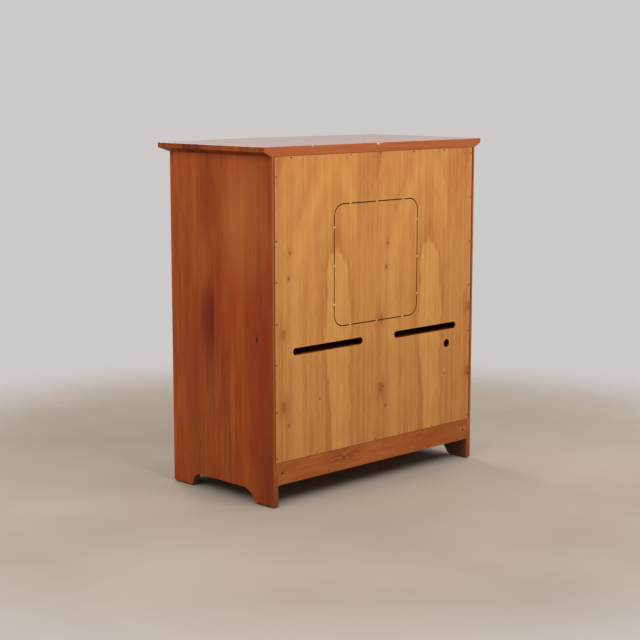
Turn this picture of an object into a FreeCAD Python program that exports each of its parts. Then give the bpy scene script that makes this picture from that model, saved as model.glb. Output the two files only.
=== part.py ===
import FreeCAD
import Part
import Sketcher
import os

# A cherry television cabinet with a bowed front. X runs across, Y towards the back, Z up.
# The origin is the middle of the cabinet's box on the floor. All sizes are in millimetres.

SIZES = [
    # Carcass
    ("carcass_width", 984),
    ("side_depth", 505),
    ("carcass_height", 1138),
    ("side_thickness", 21),
    ("board_thickness", 20),
    ("dado_depth", 7),
    ("bow_radius", 3200),
    # Top
    ("top_thickness", 30),
    ("top_side_overhang", 32),
    ("top_front_overhang", 28),
    ("top_bevel_height", 13.5),
    ("top_bevel_run", 28),
    ("top_bevel_rounding", 12),
    ("top_edge_rounding", 1.5),
    # Feet cut from the sides and the front apron
    ("glide_height", 4),
    ("glide_radius", 8),
    ("arch_height", 43.5),
    ("front_foot_width", 97),
    ("front_arch_run", 46),
    ("rear_foot_width", 82),
    ("rear_toe_run", 10),
    ("rear_toe_rise", 6),
    ("rear_arch_run", 58),
    # Rear apron, rear top rail and corner blocks
    ("rear_apron_rise", 69.5),
    ("rear_apron_height", 74.3),
    ("rear_apron_recess", 0.5),
    ("rear_rail_height", 40),
    ("corner_block_width", 38),
    ("corner_block_height", 70),
    # Back panel
    ("panel_thickness", 6),
    ("panel_recess", 1),
    ("panel_lip", 7.5),
    ("panel_edge_gap", 4),
    ("slot_middle_gap", 78.5),
    ("slot_edge_inset", 89.5),
    ("slot_height", 24),
    ("slot_level", 505),
    ("cord_hole_radius", 14.5),
    ("cord_hole_inset", 137.5),
    ("cord_hole_level", 442.8),
    ("knockout_size", 406),
    ("knockout_offset", 10.8),
    ("knockout_level", 769),
    ("knockout_corner", 40),
    ("kerf_width", 3.5),
    ("bridge_width", 6),
    ("bridge_pitch", 128.3),
    ("nail_radius", 1.5),
    ("nail_length", 20),
    ("nail_edge_distance", 6),
    ("nail_proud", 0.2),
    # Shelves
    ("deck_level", 324),
    ("shelf_level", 469),
    ("shelf_thickness", 21),
    ("shelf_end_gap", 1),
    ("shelf_rear_gap", 5),
    ("shelf_front_setback", 12),
    ("cleat_width", 20),
    ("cleat_height", 30),
    ("cleat_front_gap", 33),
    # Face frame
    ("frame_thickness", 20),
    ("stile_width", 45),
    ("top_rail_height", 40),
    ("middle_rail_height", 32),
    ("mullion_width", 38),
    # Doors
    ("door_gap", 2),
    ("door_meeting_gap", 3),
    ("door_thickness", 20),
    ("door_stile_width", 62),
    ("door_rail_height", 68),
    ("door_groove_width", 6),
    ("door_groove_depth", 9),
    ("panel_tongue_play", 1),
    ("panel_face_drop", 3),
    ("panel_field_inset", 3),
    ("panel_bevel_run", 32),
    ("panel_bevel_drop", 3.5),
    # Hinges
    ("hinge_height", 64),
    ("hinge_inset", 90),
    ("hinge_leaf_width", 18),
    ("hinge_leaf_thickness", 1.6),
    ("hinge_barrel_radius", 3.5),
    ("hinge_pin_radius", 1.6),
    ("hinge_pin_play", 0.05),
    ("hinge_knuckle_play", 0.3),
    ("hinge_offset", 4),
    ("hinge_tip_height", 3),
    ("hinge_mortise_play", 0.1),
    # Catches
    ("catch_width", 30),
    ("catch_height", 34),
    ("catch_depth", 12),
    ("catch_inset", 8),
    ("catch_gap", 0.3),
    ("catch_plate_thickness", 1),
    # Drawers
    ("drawer_front_thickness", 20),
    ("drawer_side_thickness", 12),
    ("drawer_side_height", 118),
    ("drawer_side_gap", 1),
    ("drawer_bottom_thickness", 6),
    ("drawer_bottom_rise", 10),
    ("drawer_bottom_play", 0.3),
    ("drawer_rear_gap", 45),
    ("drawer_float", 0.3),
    ("guide_height", 22),
    ("guide_rear_gap", 30),
    ("partition_thickness", 20),
    # Knobs
    ("knob_reach", 26),
    ("knob_radius", 15),
    ("knob_foot_radius", 9.5),
    ("knob_neck_radius", 6.5),
    ("knob_neck_reach", 11),
    ("knob_level", 640),
    # Screws
    ("screw_radius", 2.2),
    ("screw_head_radius", 4.2),
    ("screw_head_height", 2.5),
    ("screw_head_play", 0.3),
    ("apron_screw_length", 38),
    ("apron_screw_inset", 20),
    ("apron_screw_sink", 8),
    ("top_screw_length", 30),
    ("top_screw_recess", 22),
    ("top_screw_inset", 67),
    ("overrun", 1),
]

# Nail places along each row, as shares of the half width or of the panel's height
TOP_NAIL_SHARES = (0.83, 0.28, -0.01, -0.35, -0.67)
DECK_NAIL_SHARES = (0.57, -0.05, -0.70)
BOTTOM_NAIL_SHARES = (0.60, 0.03, -0.56)
LEFT_EDGE_NAIL_SHARES = (0.977, 0.82, 0.66, 0.50, 0.33, 0.17, 0.015)
RIGHT_EDGE_NAIL_SHARES = (0.934, 0.729, 0.596, 0.46, 0.325, 0.17, 0.015)

doc = FreeCAD.newDocument("television_cabinet")
sheet = doc.addObject("Spreadsheet::Sheet", "Sizes")
for row, (alias, size) in enumerate(SIZES, start=1):
    sheet.set("A%d" % row, alias)
    sheet.set("B%d" % row, str(size))
    sheet.setAlias("B%d" % row, alias)
doc.recompute()

# Levels and places that several pieces share, each worked out from the driving sizes
half_width = "(Sizes.carcass_width / 2)"
inner_half = "(Sizes.carcass_width / 2 - Sizes.side_thickness)"
frame_half = "(Sizes.carcass_width / 2 - Sizes.stile_width)"
top_half = "(Sizes.carcass_width / 2 + Sizes.top_side_overhang)"
bow_centre = "(sqrt(Sizes.bow_radius ^ 2 - (Sizes.carcass_width / 2) ^ 2) - Sizes.side_depth)"
depth = "(Sizes.bow_radius + Sizes.top_front_overhang - " + bow_centre + ")"
rear = "(" + depth + " / 2)"
bow_y = "(" + rear + " + " + bow_centre + ")"
panel_front = "(" + rear + " - Sizes.panel_recess - Sizes.panel_thickness)"
stile_back = "(" + rear + " - Sizes.side_depth + Sizes.frame_thickness)"
foot_level = "Sizes.glide_height"
arch_level = "(Sizes.glide_height + Sizes.arch_height)"
bottom_level = "(Sizes.glide_height + Sizes.rear_apron_rise + Sizes.rear_apron_height)"
floor_level = "(" + bottom_level + " + Sizes.board_thickness)"
deck_top = "(Sizes.deck_level + Sizes.board_thickness)"
rail_bottom = "(" + deck_top + " - Sizes.middle_rail_height)"
door_top = "(Sizes.carcass_height - Sizes.top_rail_height)"
frame_back = "Sizes.frame_thickness"

subparts = []


def value(expression):
    """The number that an expression of sheet sizes gives."""
    result = sheet.evalExpression(expression)
    return float(getattr(result, "Value", result))


def minus(expression):
    return "(-(" + expression + "))"


def bow(x, inset="0"):
    """The Y of the bowed front at x, set back from the frame's face by an inset."""
    radius = "(Sizes.bow_radius - (" + inset + "))"
    return "(" + bow_y + " - sqrt(" + radius + " ^ 2 - (" + x + ") ^ 2))"


def keep(piece, label):
    """Name a finished sub-part and list it for writing."""
    piece.Label = label
    subparts.append(piece)
    return piece


def place(piece, x="0", y="0", z="0"):
    for axis, expression in zip("xyz", (x, y, z)):
        piece.setExpression("Placement.Base." + axis, expression)


def block(name, low, high):
    """A straight board between its lowest and highest corners."""
    board = doc.addObject("Part::Box", name)
    for edge, start, end in zip(("Length", "Width", "Height"), low, high):
        board.setExpression(edge, "(" + end + ") - (" + start + ")")
    place(board, *low)
    return board


def rod(name, start, radius, length, direction="z"):
    """A round bar from its start point along z, or towards the front for direction y."""
    bar = doc.addObject("Part::Cylinder", name)
    bar.setExpression("Radius", radius)
    bar.setExpression("Height", length)
    if direction == "y":
        bar.Placement.Rotation = FreeCAD.Rotation(FreeCAD.Vector(1, 0, 0), 90)
    place(bar, *start)
    return bar


def fuse(name, pieces):
    joined = doc.addObject("Part::MultiFuse", name)
    joined.Shapes = pieces
    return joined


def cut(name, base, tools):
    """A base piece with one or more tools taken away."""
    result = doc.addObject("Part::Cut", name)
    result.Base = base
    result.Tool = tools[0] if len(tools) == 1 else fuse(name + "_cutters", tools)
    return result


def group(name, pieces):
    """Like pieces that share a node and stay separate solids."""
    compound = doc.addObject("Part::Compound", name)
    compound.Links = pieces
    return compound


def origin_plane(body, role):
    return [feature for feature in body.Origin.OriginFeatures if feature.Role == role][0]


def arc_between(start, end, radius, centre_side):
    """An arc from start to end whose centre lies left (+1) or right (-1) of that run."""
    chord = end - start
    half = chord.Length / 2
    height = max(radius ** 2 - half ** 2, 0) ** 0.5
    normal = FreeCAD.Vector(-chord.y, chord.x, 0).normalize()
    middle = (start + end) / 2
    centre = middle + normal * height * centre_side
    crown = centre + (middle - centre).normalize() * radius
    if centre_side < 0:
        return Part.Arc(end, crown, start)
    return Part.Arc(start, crown, end)


def draw(sketch, corners):
    """Draw a closed outline. A corner is x and y, or x, y, radius and side for an arc to the next."""
    points = [FreeCAD.Vector(value(corner[0]), value(corner[1]), 0) for corner in corners]
    ends = []
    for number, corner in enumerate(corners):
        start = points[number]
        end = points[(number + 1) % len(points)]
        if len(corner) == 2:
            index = sketch.addGeometry(Part.LineSegment(start, end), False)
            ends.append((index, 1, 2))
        else:
            index = sketch.addGeometry(arc_between(start, end, value(corner[2]), corner[3]), False)
            forward = corner[3] > 0
            ends.append((index, 1, 2) if forward else (index, 2, 1))
    for number, (index, first, last) in enumerate(ends):
        following, next_first, next_last = ends[(number + 1) % len(ends)]
        sketch.addConstraint(Sketcher.Constraint("Coincident", index, last, following, next_first))
    for (index, first, last), corner, point in zip(ends, corners, points):
        bind_distance(sketch, "DistanceX", index, first, point.x, corner[0])
        bind_distance(sketch, "DistanceY", index, first, point.y, corner[1])
        if len(corner) > 2:
            constraint = sketch.addConstraint(Sketcher.Constraint("Radius", index, value(corner[2])))
            sketch.setExpression("Constraints[%d]" % constraint, corner[2])


def bind_distance(sketch, kind, index, end, distance, expression):
    """Hold one end of a line or arc at a distance from the sketch's origin."""
    constraint = sketch.addConstraint(Sketcher.Constraint(kind, -1, 1, index, end, distance))
    sketch.setExpression("Constraints[%d]" % constraint, expression)


def outline_body(name, plane, corners):
    """A body with one sketched outline on one of its own planes."""
    body = doc.addObject("PartDesign::Body", name)
    sketch = body.newObject("Sketcher::SketchObject", name + "_outline")
    sketch.AttachmentSupport = [(origin_plane(body, plane), "")]
    sketch.MapMode = "FlatFace"
    draw(sketch, corners)
    return body, sketch


def slab(name, corners, height, level="0", plane="XY_Plane", across="0"):
    """An outline padded to a height, standing at a level, or across from the middle."""
    body, sketch = outline_body(name, plane, corners)
    pad = body.newObject("PartDesign::Pad", name + "_pad")
    pad.Profile = sketch
    pad.setExpression("Length", height)
    place(body, z=level)
    if plane == "YZ_Plane":
        place(body, x=across, z=level)
    if plane == "XZ_Plane":
        place(body, y=across, z=level)
    return body


def bowed_strip(name, left, right, low, high, front="0", back="Sizes.frame_thickness"):
    """A board between two arcs of the bow, from left to right and low to high."""
    outer = "(Sizes.bow_radius - (" + front + "))"
    inner = "(Sizes.bow_radius - (" + back + "))"
    corners = [
        (left, bow(left, front), outer, 1),
        (right, bow(right, front)),
        (right, bow(right, back), inner, -1),
        (left, bow(left, back)),
    ]
    return slab(name, corners, "(" + high + ") - (" + low + ")", low)


def bow_fronted_board(name, left, right, back, low, high, setback):
    """A board with a straight rear edge and a bowed front edge."""
    radius = "(Sizes.bow_radius - (" + setback + "))"
    corners = [
        (left, bow(left, setback), radius, 1),
        (right, bow(right, setback)),
        (right, back),
        (left, back),
    ]
    return slab(name, corners, "(" + high + ") - (" + low + ")", low)


def mirrored_range(hand, near, far):
    """Left and right X of something between near and far from the middle, on one hand."""
    if hand > 0:
        return near, far
    return minus(far), minus(near)


def fitted_edges(shape, wanted):
    """Names of the edges of a shape that a test accepts."""
    return ["Edge%d" % number for number, edge in enumerate(shape.Edges, start=1) if wanted(edge)]


def make_top():
    """The overhanging top: square above, bevelled and eased below on its sides and bowed front."""
    radius = "(Sizes.bow_radius + Sizes.top_front_overhang)"
    front = bow(top_half, "-Sizes.top_front_overhang")
    corners = [
        (minus(top_half), front, radius, 1),
        (top_half, front),
        (top_half, rear),
        (minus(top_half), rear),
    ]
    body = slab("top", corners, "Sizes.top_thickness", "Sizes.carcass_height")
    doc.recompute()
    pad = body.Tip
    thickness = value("Sizes.top_thickness")
    rear_y = value(rear)

    def at_rear(edge):
        return abs(edge.BoundBox.YMin - rear_y) < thickness and edge.BoundBox.YLength < thickness

    def below_edge(edge):
        return edge.BoundBox.ZMax < thickness / 2 and not at_rear(edge)

    bevel = body.newObject("PartDesign::Chamfer", "top_bevel")
    bevel.Base = (pad, fitted_edges(pad.Shape, below_edge))
    bevel.ChamferType = "Two distances"
    bevel.setExpression("Size", "Sizes.top_bevel_height")
    bevel.setExpression("Size2", "Sizes.top_bevel_run")
    doc.recompute()

    def bevel_foot(edge):
        return edge.BoundBox.ZMax < thickness / 8 and not at_rear(edge)

    rounding = body.newObject("PartDesign::Fillet", "top_bevel_foot")
    rounding.Base = (bevel, fitted_edges(bevel.Shape, bevel_foot))
    rounding.setExpression("Radius", "Sizes.top_bevel_rounding")
    doc.recompute()

    def top_rim(edge):
        return edge.BoundBox.ZMin > thickness * 7 / 8

    ease = body.newObject("PartDesign::Fillet", "top_rim_easing")
    ease.Base = (rounding, fitted_edges(rounding.Shape, top_rim))
    ease.setExpression("Radius", "Sizes.top_edge_rounding")
    keep(body, "top")


def make_side(label, hand):
    """A side board with its foot arch, the rabbet for the back and the dados for two boards."""
    front_foot = stile_back + " - Sizes.frame_thickness + Sizes.front_foot_width"
    arch_front = front_foot + " + Sizes.front_arch_run"
    front_run = "((Sizes.front_arch_run ^ 2 + Sizes.arch_height ^ 2) / (2 * Sizes.arch_height))"
    rear_rise = "(Sizes.arch_height - Sizes.rear_toe_rise)"
    rear_run = "((Sizes.rear_arch_run ^ 2 + " + rear_rise + " ^ 2) / (2 * " + rear_rise + "))"
    rear_foot = rear + " - Sizes.rear_foot_width"
    toe = rear_foot + " - Sizes.rear_toe_run"
    toe_level = foot_level + " + Sizes.rear_toe_rise"
    arch_rear = toe + " - Sizes.rear_arch_run"
    corners = [
        (stile_back, foot_level),
        (front_foot, foot_level, front_run, -1),
        (arch_front, arch_level),
        (arch_rear, arch_level, rear_run, -1),
        (toe, toe_level),
        (rear_foot, foot_level),
        (rear, foot_level),
        (rear, "Sizes.carcass_height"),
        (stile_back, "Sizes.carcass_height"),
    ]
    low, high = mirrored_range(hand, inner_half, half_width)
    board = slab(label + "_board", corners, "Sizes.side_thickness", plane="YZ_Plane", across=low)
    lip_half = "(Sizes.carcass_width / 2 - Sizes.panel_lip)"
    near, far = mirrored_range(hand, inner_half + " - Sizes.overrun", lip_half)
    rabbet = block(
        label + "_rabbet",
        (near, panel_front, bottom_level),
        (far, rear + " + Sizes.overrun", "Sizes.carcass_height + Sizes.overrun"),
    )
    dado_half = "(" + inner_half + " + Sizes.dado_depth)"
    near, far = mirrored_range(hand, inner_half + " - Sizes.overrun", dado_half)
    dados = []
    for name, level in (("bottom", bottom_level), ("deck", "Sizes.deck_level")):
        dados.append(block(
            label + "_" + name + "_dado",
            (near, stile_back + " - Sizes.overrun", level),
            (far, panel_front, level + " + Sizes.board_thickness"),
        ))
    keep(cut(label, board, [rabbet] + dados), label)


def fixed_board(label, level):
    """A board across the carcass in the side dados, fitted round the face frame at the front."""
    end = "(" + inner_half + " + Sizes.dado_depth)"
    radius = "(Sizes.bow_radius - Sizes.frame_thickness)"
    corners = [
        (minus(frame_half), bow(frame_half, frame_back), radius, 1),
        (frame_half, bow(frame_half, frame_back)),
        (frame_half, stile_back),
        (end, stile_back),
        (end, panel_front),
        (minus(end), panel_front),
        (minus(end), stile_back),
        (minus(frame_half), stile_back),
    ]
    keep(slab(label, corners, "Sizes.board_thickness", level), label)


def make_tv_shelf():
    """The shelf for the television, loose on two cleats, with a bowed front edge."""
    end = "(" + inner_half + " - Sizes.shelf_end_gap)"
    back = "(" + panel_front + " - Sizes.shelf_rear_gap)"
    setback = "(Sizes.door_thickness + Sizes.shelf_front_setback)"
    top = "(Sizes.shelf_level + Sizes.shelf_thickness)"
    board = bow_fronted_board("tv_shelf", minus(end), end, back, "Sizes.shelf_level", top, setback)
    keep(board, "tv_shelf")
    for label, hand in (("shelf_cleat_right", 1), ("shelf_cleat_left", -1)):
        low, high = mirrored_range(hand, inner_half + " - Sizes.cleat_width", inner_half)
        cleat = block(
            label,
            (low, stile_back + " + Sizes.cleat_front_gap", "Sizes.shelf_level - Sizes.cleat_height"),
            (high, back, "Sizes.shelf_level"),
        )
        keep(cleat, label)


def rounded_square(name, size, corner):
    """A square with round corners across the back panel, about the knock-out's centre."""
    half = "(" + size + " / 2)"
    left = "(Sizes.knockout_offset - " + half + ")"
    right = "(Sizes.knockout_offset + " + half + ")"
    low = "(Sizes.knockout_level - " + half + ")"
    high = "(Sizes.knockout_level + " + half + ")"
    corners = [
        (left + " + " + corner, low),
        (right + " - " + corner, low, corner, 1),
        (right, low + " + " + corner),
        (right, high + " - " + corner, corner, 1),
        (right + " - " + corner, high),
        (left + " + " + corner, high, corner, 1),
        (left, high + " - " + corner),
        (left, low + " + " + corner, corner, 1),
    ]
    height = "(Sizes.panel_thickness + 2 * Sizes.overrun)"
    across = rear + " - Sizes.panel_recess + Sizes.overrun"
    return slab(name, corners, height, plane="XZ_Plane", across=across)


def make_knockout_kerf():
    """The saw kerf along the knock-out's outline, left standing in three bridges on each side."""
    squares = []
    for name, sign in (("kerf_outer", " + "), ("kerf_inner", " - ")):
        size = "(Sizes.knockout_size" + sign + "Sizes.kerf_width)"
        corner = "(Sizes.knockout_corner" + sign + "Sizes.kerf_width / 2)"
        squares.append(rounded_square(name, size, corner))
    ring = cut("kerf_ring", squares[0], squares[1:])
    reach = "(Sizes.knockout_size / 2 + Sizes.kerf_width)"
    half_bridge = "(Sizes.bridge_width / 2)"
    front = panel_front + " - Sizes.overrun"
    back = rear + " + Sizes.overrun"
    bridges = []
    for step in (-1, 0, 1):
        shift = "(%d * Sizes.bridge_pitch)" % step
        column = "(Sizes.knockout_offset + " + shift + ")"
        level = "(Sizes.knockout_level + " + shift + ")"
        bridges.append(block(
            "upright_bridge",
            (column + " - " + half_bridge, front, "Sizes.knockout_level - " + reach),
            (column + " + " + half_bridge, back, "Sizes.knockout_level + " + reach),
        ))
        bridges.append(block(
            "level_bridge",
            ("Sizes.knockout_offset - " + reach, front, level + " - " + half_bridge),
            ("Sizes.knockout_offset + " + reach, back, level + " + " + half_bridge),
        ))
    return cut("knockout_kerf", ring, bridges)


def make_slot(name, hand):
    """A long slot with round ends through the back panel."""
    radius = "(Sizes.slot_height / 2)"
    slot_end = "(" + half_width + " - Sizes.slot_edge_inset)"
    centre = "((Sizes.slot_middle_gap + " + slot_end + ") / 2)"
    reach = "((" + slot_end + " - Sizes.slot_middle_gap) / 2 - " + radius + ")"
    if hand < 0:
        centre = minus(centre)
    start = rear + " + Sizes.overrun"
    length = "(Sizes.panel_recess + Sizes.panel_thickness + 2 * Sizes.overrun)"
    middle = block(
        name + "_middle",
        (centre + " - " + reach, start + " - " + length, "Sizes.slot_level - " + radius),
        (centre + " + " + reach, start, "Sizes.slot_level + " + radius),
    )
    ends = []
    for sign in (" - ", " + "):
        end = (centre + sign + reach, start, "Sizes.slot_level")
        ends.append(rod(name + "_end", end, radius, length, "y"))
    return fuse(name, [middle] + ends)


def make_back_panel():
    """The plywood back with its knock-out, two slots and round cord hole."""
    half = "(Sizes.carcass_width / 2 - Sizes.panel_lip - Sizes.panel_edge_gap)"
    sheet_board = block(
        "back_sheet",
        (minus(half), panel_front, bottom_level),
        (half, rear + " - Sizes.panel_recess", "Sizes.carcass_height"),
    )
    slots = [make_slot("right_slot", 1), make_slot("left_slot", -1)]
    hole = rod(
        "cord_hole",
        ("Sizes.cord_hole_inset - " + half_width, rear + " + Sizes.overrun", "Sizes.cord_hole_level"),
        "Sizes.cord_hole_radius",
        "(Sizes.panel_recess + Sizes.panel_thickness + 2 * Sizes.overrun)",
        "y",
    )
    keep(cut("back_panel", sheet_board, slots + [hole, make_knockout_kerf()]), "back_panel")


def make_panel_nails():
    """Nails through the back into the sides, the boards and the rear top rail."""
    top = "(Sizes.carcass_height - Sizes.nail_edge_distance)"
    edge = "(Sizes.carcass_width / 2 - Sizes.panel_lip - Sizes.panel_edge_gap - Sizes.nail_edge_distance)"
    deck = "(Sizes.deck_level + Sizes.board_thickness / 2)"
    bottom = "(" + bottom_level + " + Sizes.nail_edge_distance)"
    height = "(Sizes.carcass_height - " + bottom_level + ")"
    places = []
    for shares, level in ((TOP_NAIL_SHARES, top), (DECK_NAIL_SHARES, deck), (BOTTOM_NAIL_SHARES, bottom)):
        places += [("(%g * %s)" % (share, half_width), level) for share in shares]
    for shares, column in ((RIGHT_EDGE_NAIL_SHARES, edge), (LEFT_EDGE_NAIL_SHARES, minus(edge))):
        places += [(column, "(%s + %g * %s)" % (bottom_level, share, height)) for share in shares]
    head = rear + " - Sizes.panel_recess + Sizes.nail_proud"
    nails = []
    for x, level in places:
        nails.append(rod("nail", (x, head, level), "Sizes.nail_radius", "Sizes.nail_length", "y"))
    keep(group("panel_nails", nails), "panel_nails")


def make_rear_rails():
    """The rear apron under the back panel and the rail behind the panel's top edge."""
    apron_back = "(" + rear + " - Sizes.rear_apron_recess)"
    apron = block(
        "rear_apron_board",
        (minus(inner_half), apron_back + " - Sizes.board_thickness", foot_level + " + Sizes.rear_apron_rise"),
        (inner_half, apron_back, bottom_level),
    )
    depth_of_bore = "(Sizes.overrun + Sizes.apron_screw_sink + Sizes.screw_head_height)"
    bores = []
    for x in (apron_screw_x, minus(apron_screw_x)):
        start = (x, apron_back + " + Sizes.overrun", apron_screw_level)
        bores.append(screw_bore("rear_apron_bore", start, depth_of_bore, "y"))
    keep(cut("rear_apron", apron, bores), "rear_apron")
    low = "(Sizes.carcass_height - Sizes.rear_rail_height)"
    rail = block(
        "rear_top_rail_board",
        (minus(inner_half), panel_front + " - Sizes.board_thickness", low),
        (inner_half, panel_front, "Sizes.carcass_height"),
    )
    bores = top_screw_bores("rear_top_rail_bore", rear_screw_places, low)
    keep(cut("rear_top_rail", rail, bores), "rear_top_rail")


def make_corner_blocks():
    """Glued blocks in the corners under the bottom board."""
    low = bottom_level + " - Sizes.corner_block_height"
    apron_front = "(" + rear + " - Sizes.rear_apron_recess - Sizes.board_thickness)"
    blocks = []
    for hand in (1, -1):
        left, right = mirrored_range(hand, inner_half + " - Sizes.corner_block_width", inner_half)
        blocks.append(block(
            "rear_corner_block",
            (left, apron_front + " - Sizes.corner_block_width", low),
            (right, apron_front, bottom_level),
        ))
        blocks.append(block(
            "front_corner_block",
            (left, stile_back, low),
            (right, stile_back + " + Sizes.corner_block_width", bottom_level),
        ))
    keep(group("corner_blocks", blocks), "corner_blocks")


def make_glides():
    """Round glides nailed under the four feet."""
    side_middle = "(Sizes.carcass_width / 2 - Sizes.side_thickness / 2)"
    front = "(" + stile_back + " - Sizes.frame_thickness + Sizes.front_foot_width / 2)"
    back = "(" + rear + " - Sizes.rear_foot_width / 2)"
    glides = []
    for x in (side_middle, minus(side_middle)):
        for y in (front, back):
            glides.append(rod("glide", (x, y, "0"), "Sizes.glide_radius", "Sizes.glide_height"))
    keep(group("foot_glides", glides), "foot_glides")


apron_screw_x = "(" + inner_half + " - Sizes.apron_screw_inset)"
apron_screw_level = "(" + foot_level + " + Sizes.rear_apron_rise + Sizes.rear_apron_height / 2)"
top_screw_head = "(Sizes.carcass_height - Sizes.top_screw_recess)"
top_screw_reach = "(" + frame_half + " - Sizes.top_screw_inset)"
top_screw_columns = ["(%d * %s)" % (step, top_screw_reach) for step in (-1, 0, 1)]
rear_screw_places = [(x, "(" + panel_front + " - Sizes.board_thickness / 2)") for x in top_screw_columns]
front_screw_places = [(x, bow(x, "Sizes.frame_thickness / 2")) for x in top_screw_columns]


def screw_bore(name, start, length, direction="z"):
    """The bore that a screw's head is sunk in."""
    return rod(name, start, "(Sizes.screw_head_radius + Sizes.screw_head_play)", length, direction)


def top_screw_bores(name, places, low):
    """Bores up into a rail from its lower face, one for each screw of the top."""
    length = top_screw_head + " + Sizes.screw_head_height - " + low + " + Sizes.overrun"
    return [screw_bore(name, (x, y, low + " - Sizes.overrun"), length) for x, y in places]


def screw(name, start, length, direction="z"):
    """A round-headed wood screw whose head is at its start."""
    shank = rod(name + "_shank", start, "Sizes.screw_radius", length, direction)
    head = rod(name + "_head", start, "Sizes.screw_head_radius", "Sizes.screw_head_height", direction)
    return fuse(name, [shank, head])


def make_screws():
    """Screws of the rear apron and those that hold the top down from inside."""
    head = rear + " - Sizes.rear_apron_recess - Sizes.apron_screw_sink"
    screws = []
    for x in (apron_screw_x, minus(apron_screw_x)):
        screws.append(screw("apron_screw", (x, head, apron_screw_level), "Sizes.apron_screw_length", "y"))
    keep(group("apron_screws", screws), "apron_screws")
    screws = []
    for x, y in rear_screw_places + front_screw_places:
        screws.append(screw("top_screw", (x, y, top_screw_head), "Sizes.top_screw_length"))
    keep(group("top_screws", screws), "top_screws")


def make_frame_stile(label, hand):
    """A face-frame stile: flat behind, following the bow in front, mortised for the door's hinges."""
    left, right = mirrored_range(hand, frame_half, half_width)
    height = "Sizes.carcass_height"
    board = bow_fronted_board(label + "_board", left, right, stile_back, foot_level, height, "0")
    keep(cut(label, board, hinge_mortises(label, hand, "frame")), label)


def make_frame_rails():
    """The bowed top and middle rails and the mullion between the drawers."""
    height = "Sizes.carcass_height"
    top = bowed_strip("frame_top_rail_board", minus(frame_half), frame_half, door_top, height)
    bores = top_screw_bores("frame_top_rail_bore", front_screw_places, door_top)
    keep(cut("frame_top_rail", top, bores), "frame_top_rail")
    middle = bowed_strip("frame_middle_rail", minus(frame_half), frame_half, rail_bottom, deck_top)
    keep(middle, "frame_middle_rail")
    half = "(Sizes.mullion_width / 2)"
    mullion = bowed_strip("drawer_mullion", minus(half), half, floor_level, rail_bottom)
    keep(mullion, "drawer_mullion")


def make_front_apron():
    """The bowed front apron, arched between its two bracket ends."""
    strip = bowed_strip("front_apron_strip", minus(frame_half), frame_half, foot_level, floor_level)
    foot_end = "(" + half_width + " - Sizes.front_foot_width)"
    arch_end = "(" + foot_end + " - Sizes.front_arch_run)"
    radius = "((Sizes.front_arch_run ^ 2 + Sizes.arch_height ^ 2) / (2 * Sizes.arch_height))"
    low = foot_level + " - Sizes.overrun"
    corners = [
        (minus(foot_end), low),
        (foot_end, low),
        (foot_end, foot_level, radius, 1),
        (arch_end, arch_level),
        (minus(arch_end), arch_level, radius, 1),
        (minus(foot_end), foot_level),
    ]
    arch = slab("front_arch", corners, depth, plane="XZ_Plane", across=rear)
    keep(cut("front_apron", strip, [arch]), "front_apron")


def make_drawer_divide():
    """The partition between the drawers and the guides that each drawer runs between."""
    half = "(Sizes.partition_thickness / 2)"
    partition = bow_fronted_board(
        "drawer_partition", minus(half), half, panel_front, floor_level, "Sizes.deck_level", frame_back)
    keep(partition, "drawer_partition")
    guide_back = "(" + rear + " - Sizes.guide_rear_gap)"
    top = floor_level + " + Sizes.guide_height"
    mullion_half = "(Sizes.mullion_width / 2)"
    for label, near, far in (
        ("outer_drawer_guides", frame_half, inner_half),
        ("centre_drawer_guides", half, mullion_half),
    ):
        guides = []
        for hand in (1, -1):
            left, right = mirrored_range(hand, near, far)
            low = (left, stile_back, floor_level)
            guides.append(block(label + "_strip", low, (right, guide_back, top)))
        keep(group(label, guides), label)


hinge_x = "(" + frame_half + " - Sizes.door_gap / 2)"
hinge_face = bow(hinge_x)
hinge_y = "(" + hinge_face + " - Sizes.hinge_offset)"
door_low = "(" + deck_top + " + Sizes.door_gap)"
door_high = "(" + door_top + " - Sizes.door_gap)"
door_outer = "(" + frame_half + " - Sizes.door_gap)"
door_inner = "(Sizes.door_meeting_gap / 2)"
hinge_levels = (
    "(" + door_low + " + Sizes.hinge_inset)",
    "(" + door_high + " - Sizes.hinge_inset - Sizes.hinge_height)",
)


def hinge_leaf_range(hand, owner):
    """The X range of a hinge leaf let into the frame's or the door's edge."""
    if owner == "frame":
        return mirrored_range(hand, frame_half, frame_half + " + Sizes.hinge_leaf_thickness")
    return mirrored_range(hand, door_outer + " - Sizes.hinge_leaf_thickness", door_outer)


def hinge_mortises(label, hand, owner):
    """The shallow cuts that the two hinge leaves of one edge lie in."""
    near, far = hinge_leaf_range(hand, owner)
    if (owner == "frame") == (hand > 0):
        near = near + " - Sizes.overrun"
    else:
        far = far + " + Sizes.overrun"
    play = "Sizes.hinge_mortise_play"
    front = hinge_face + " - Sizes.overrun - Sizes.hinge_offset"
    back = hinge_face + " + Sizes.hinge_leaf_width + " + play
    mortises = []
    for level in hinge_levels:
        low = (near, front, level + " - " + play)
        high = (far, back, level + " + Sizes.hinge_height + " + play)
        mortises.append(block(label + "_mortise", low, high))
    return mortises


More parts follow.
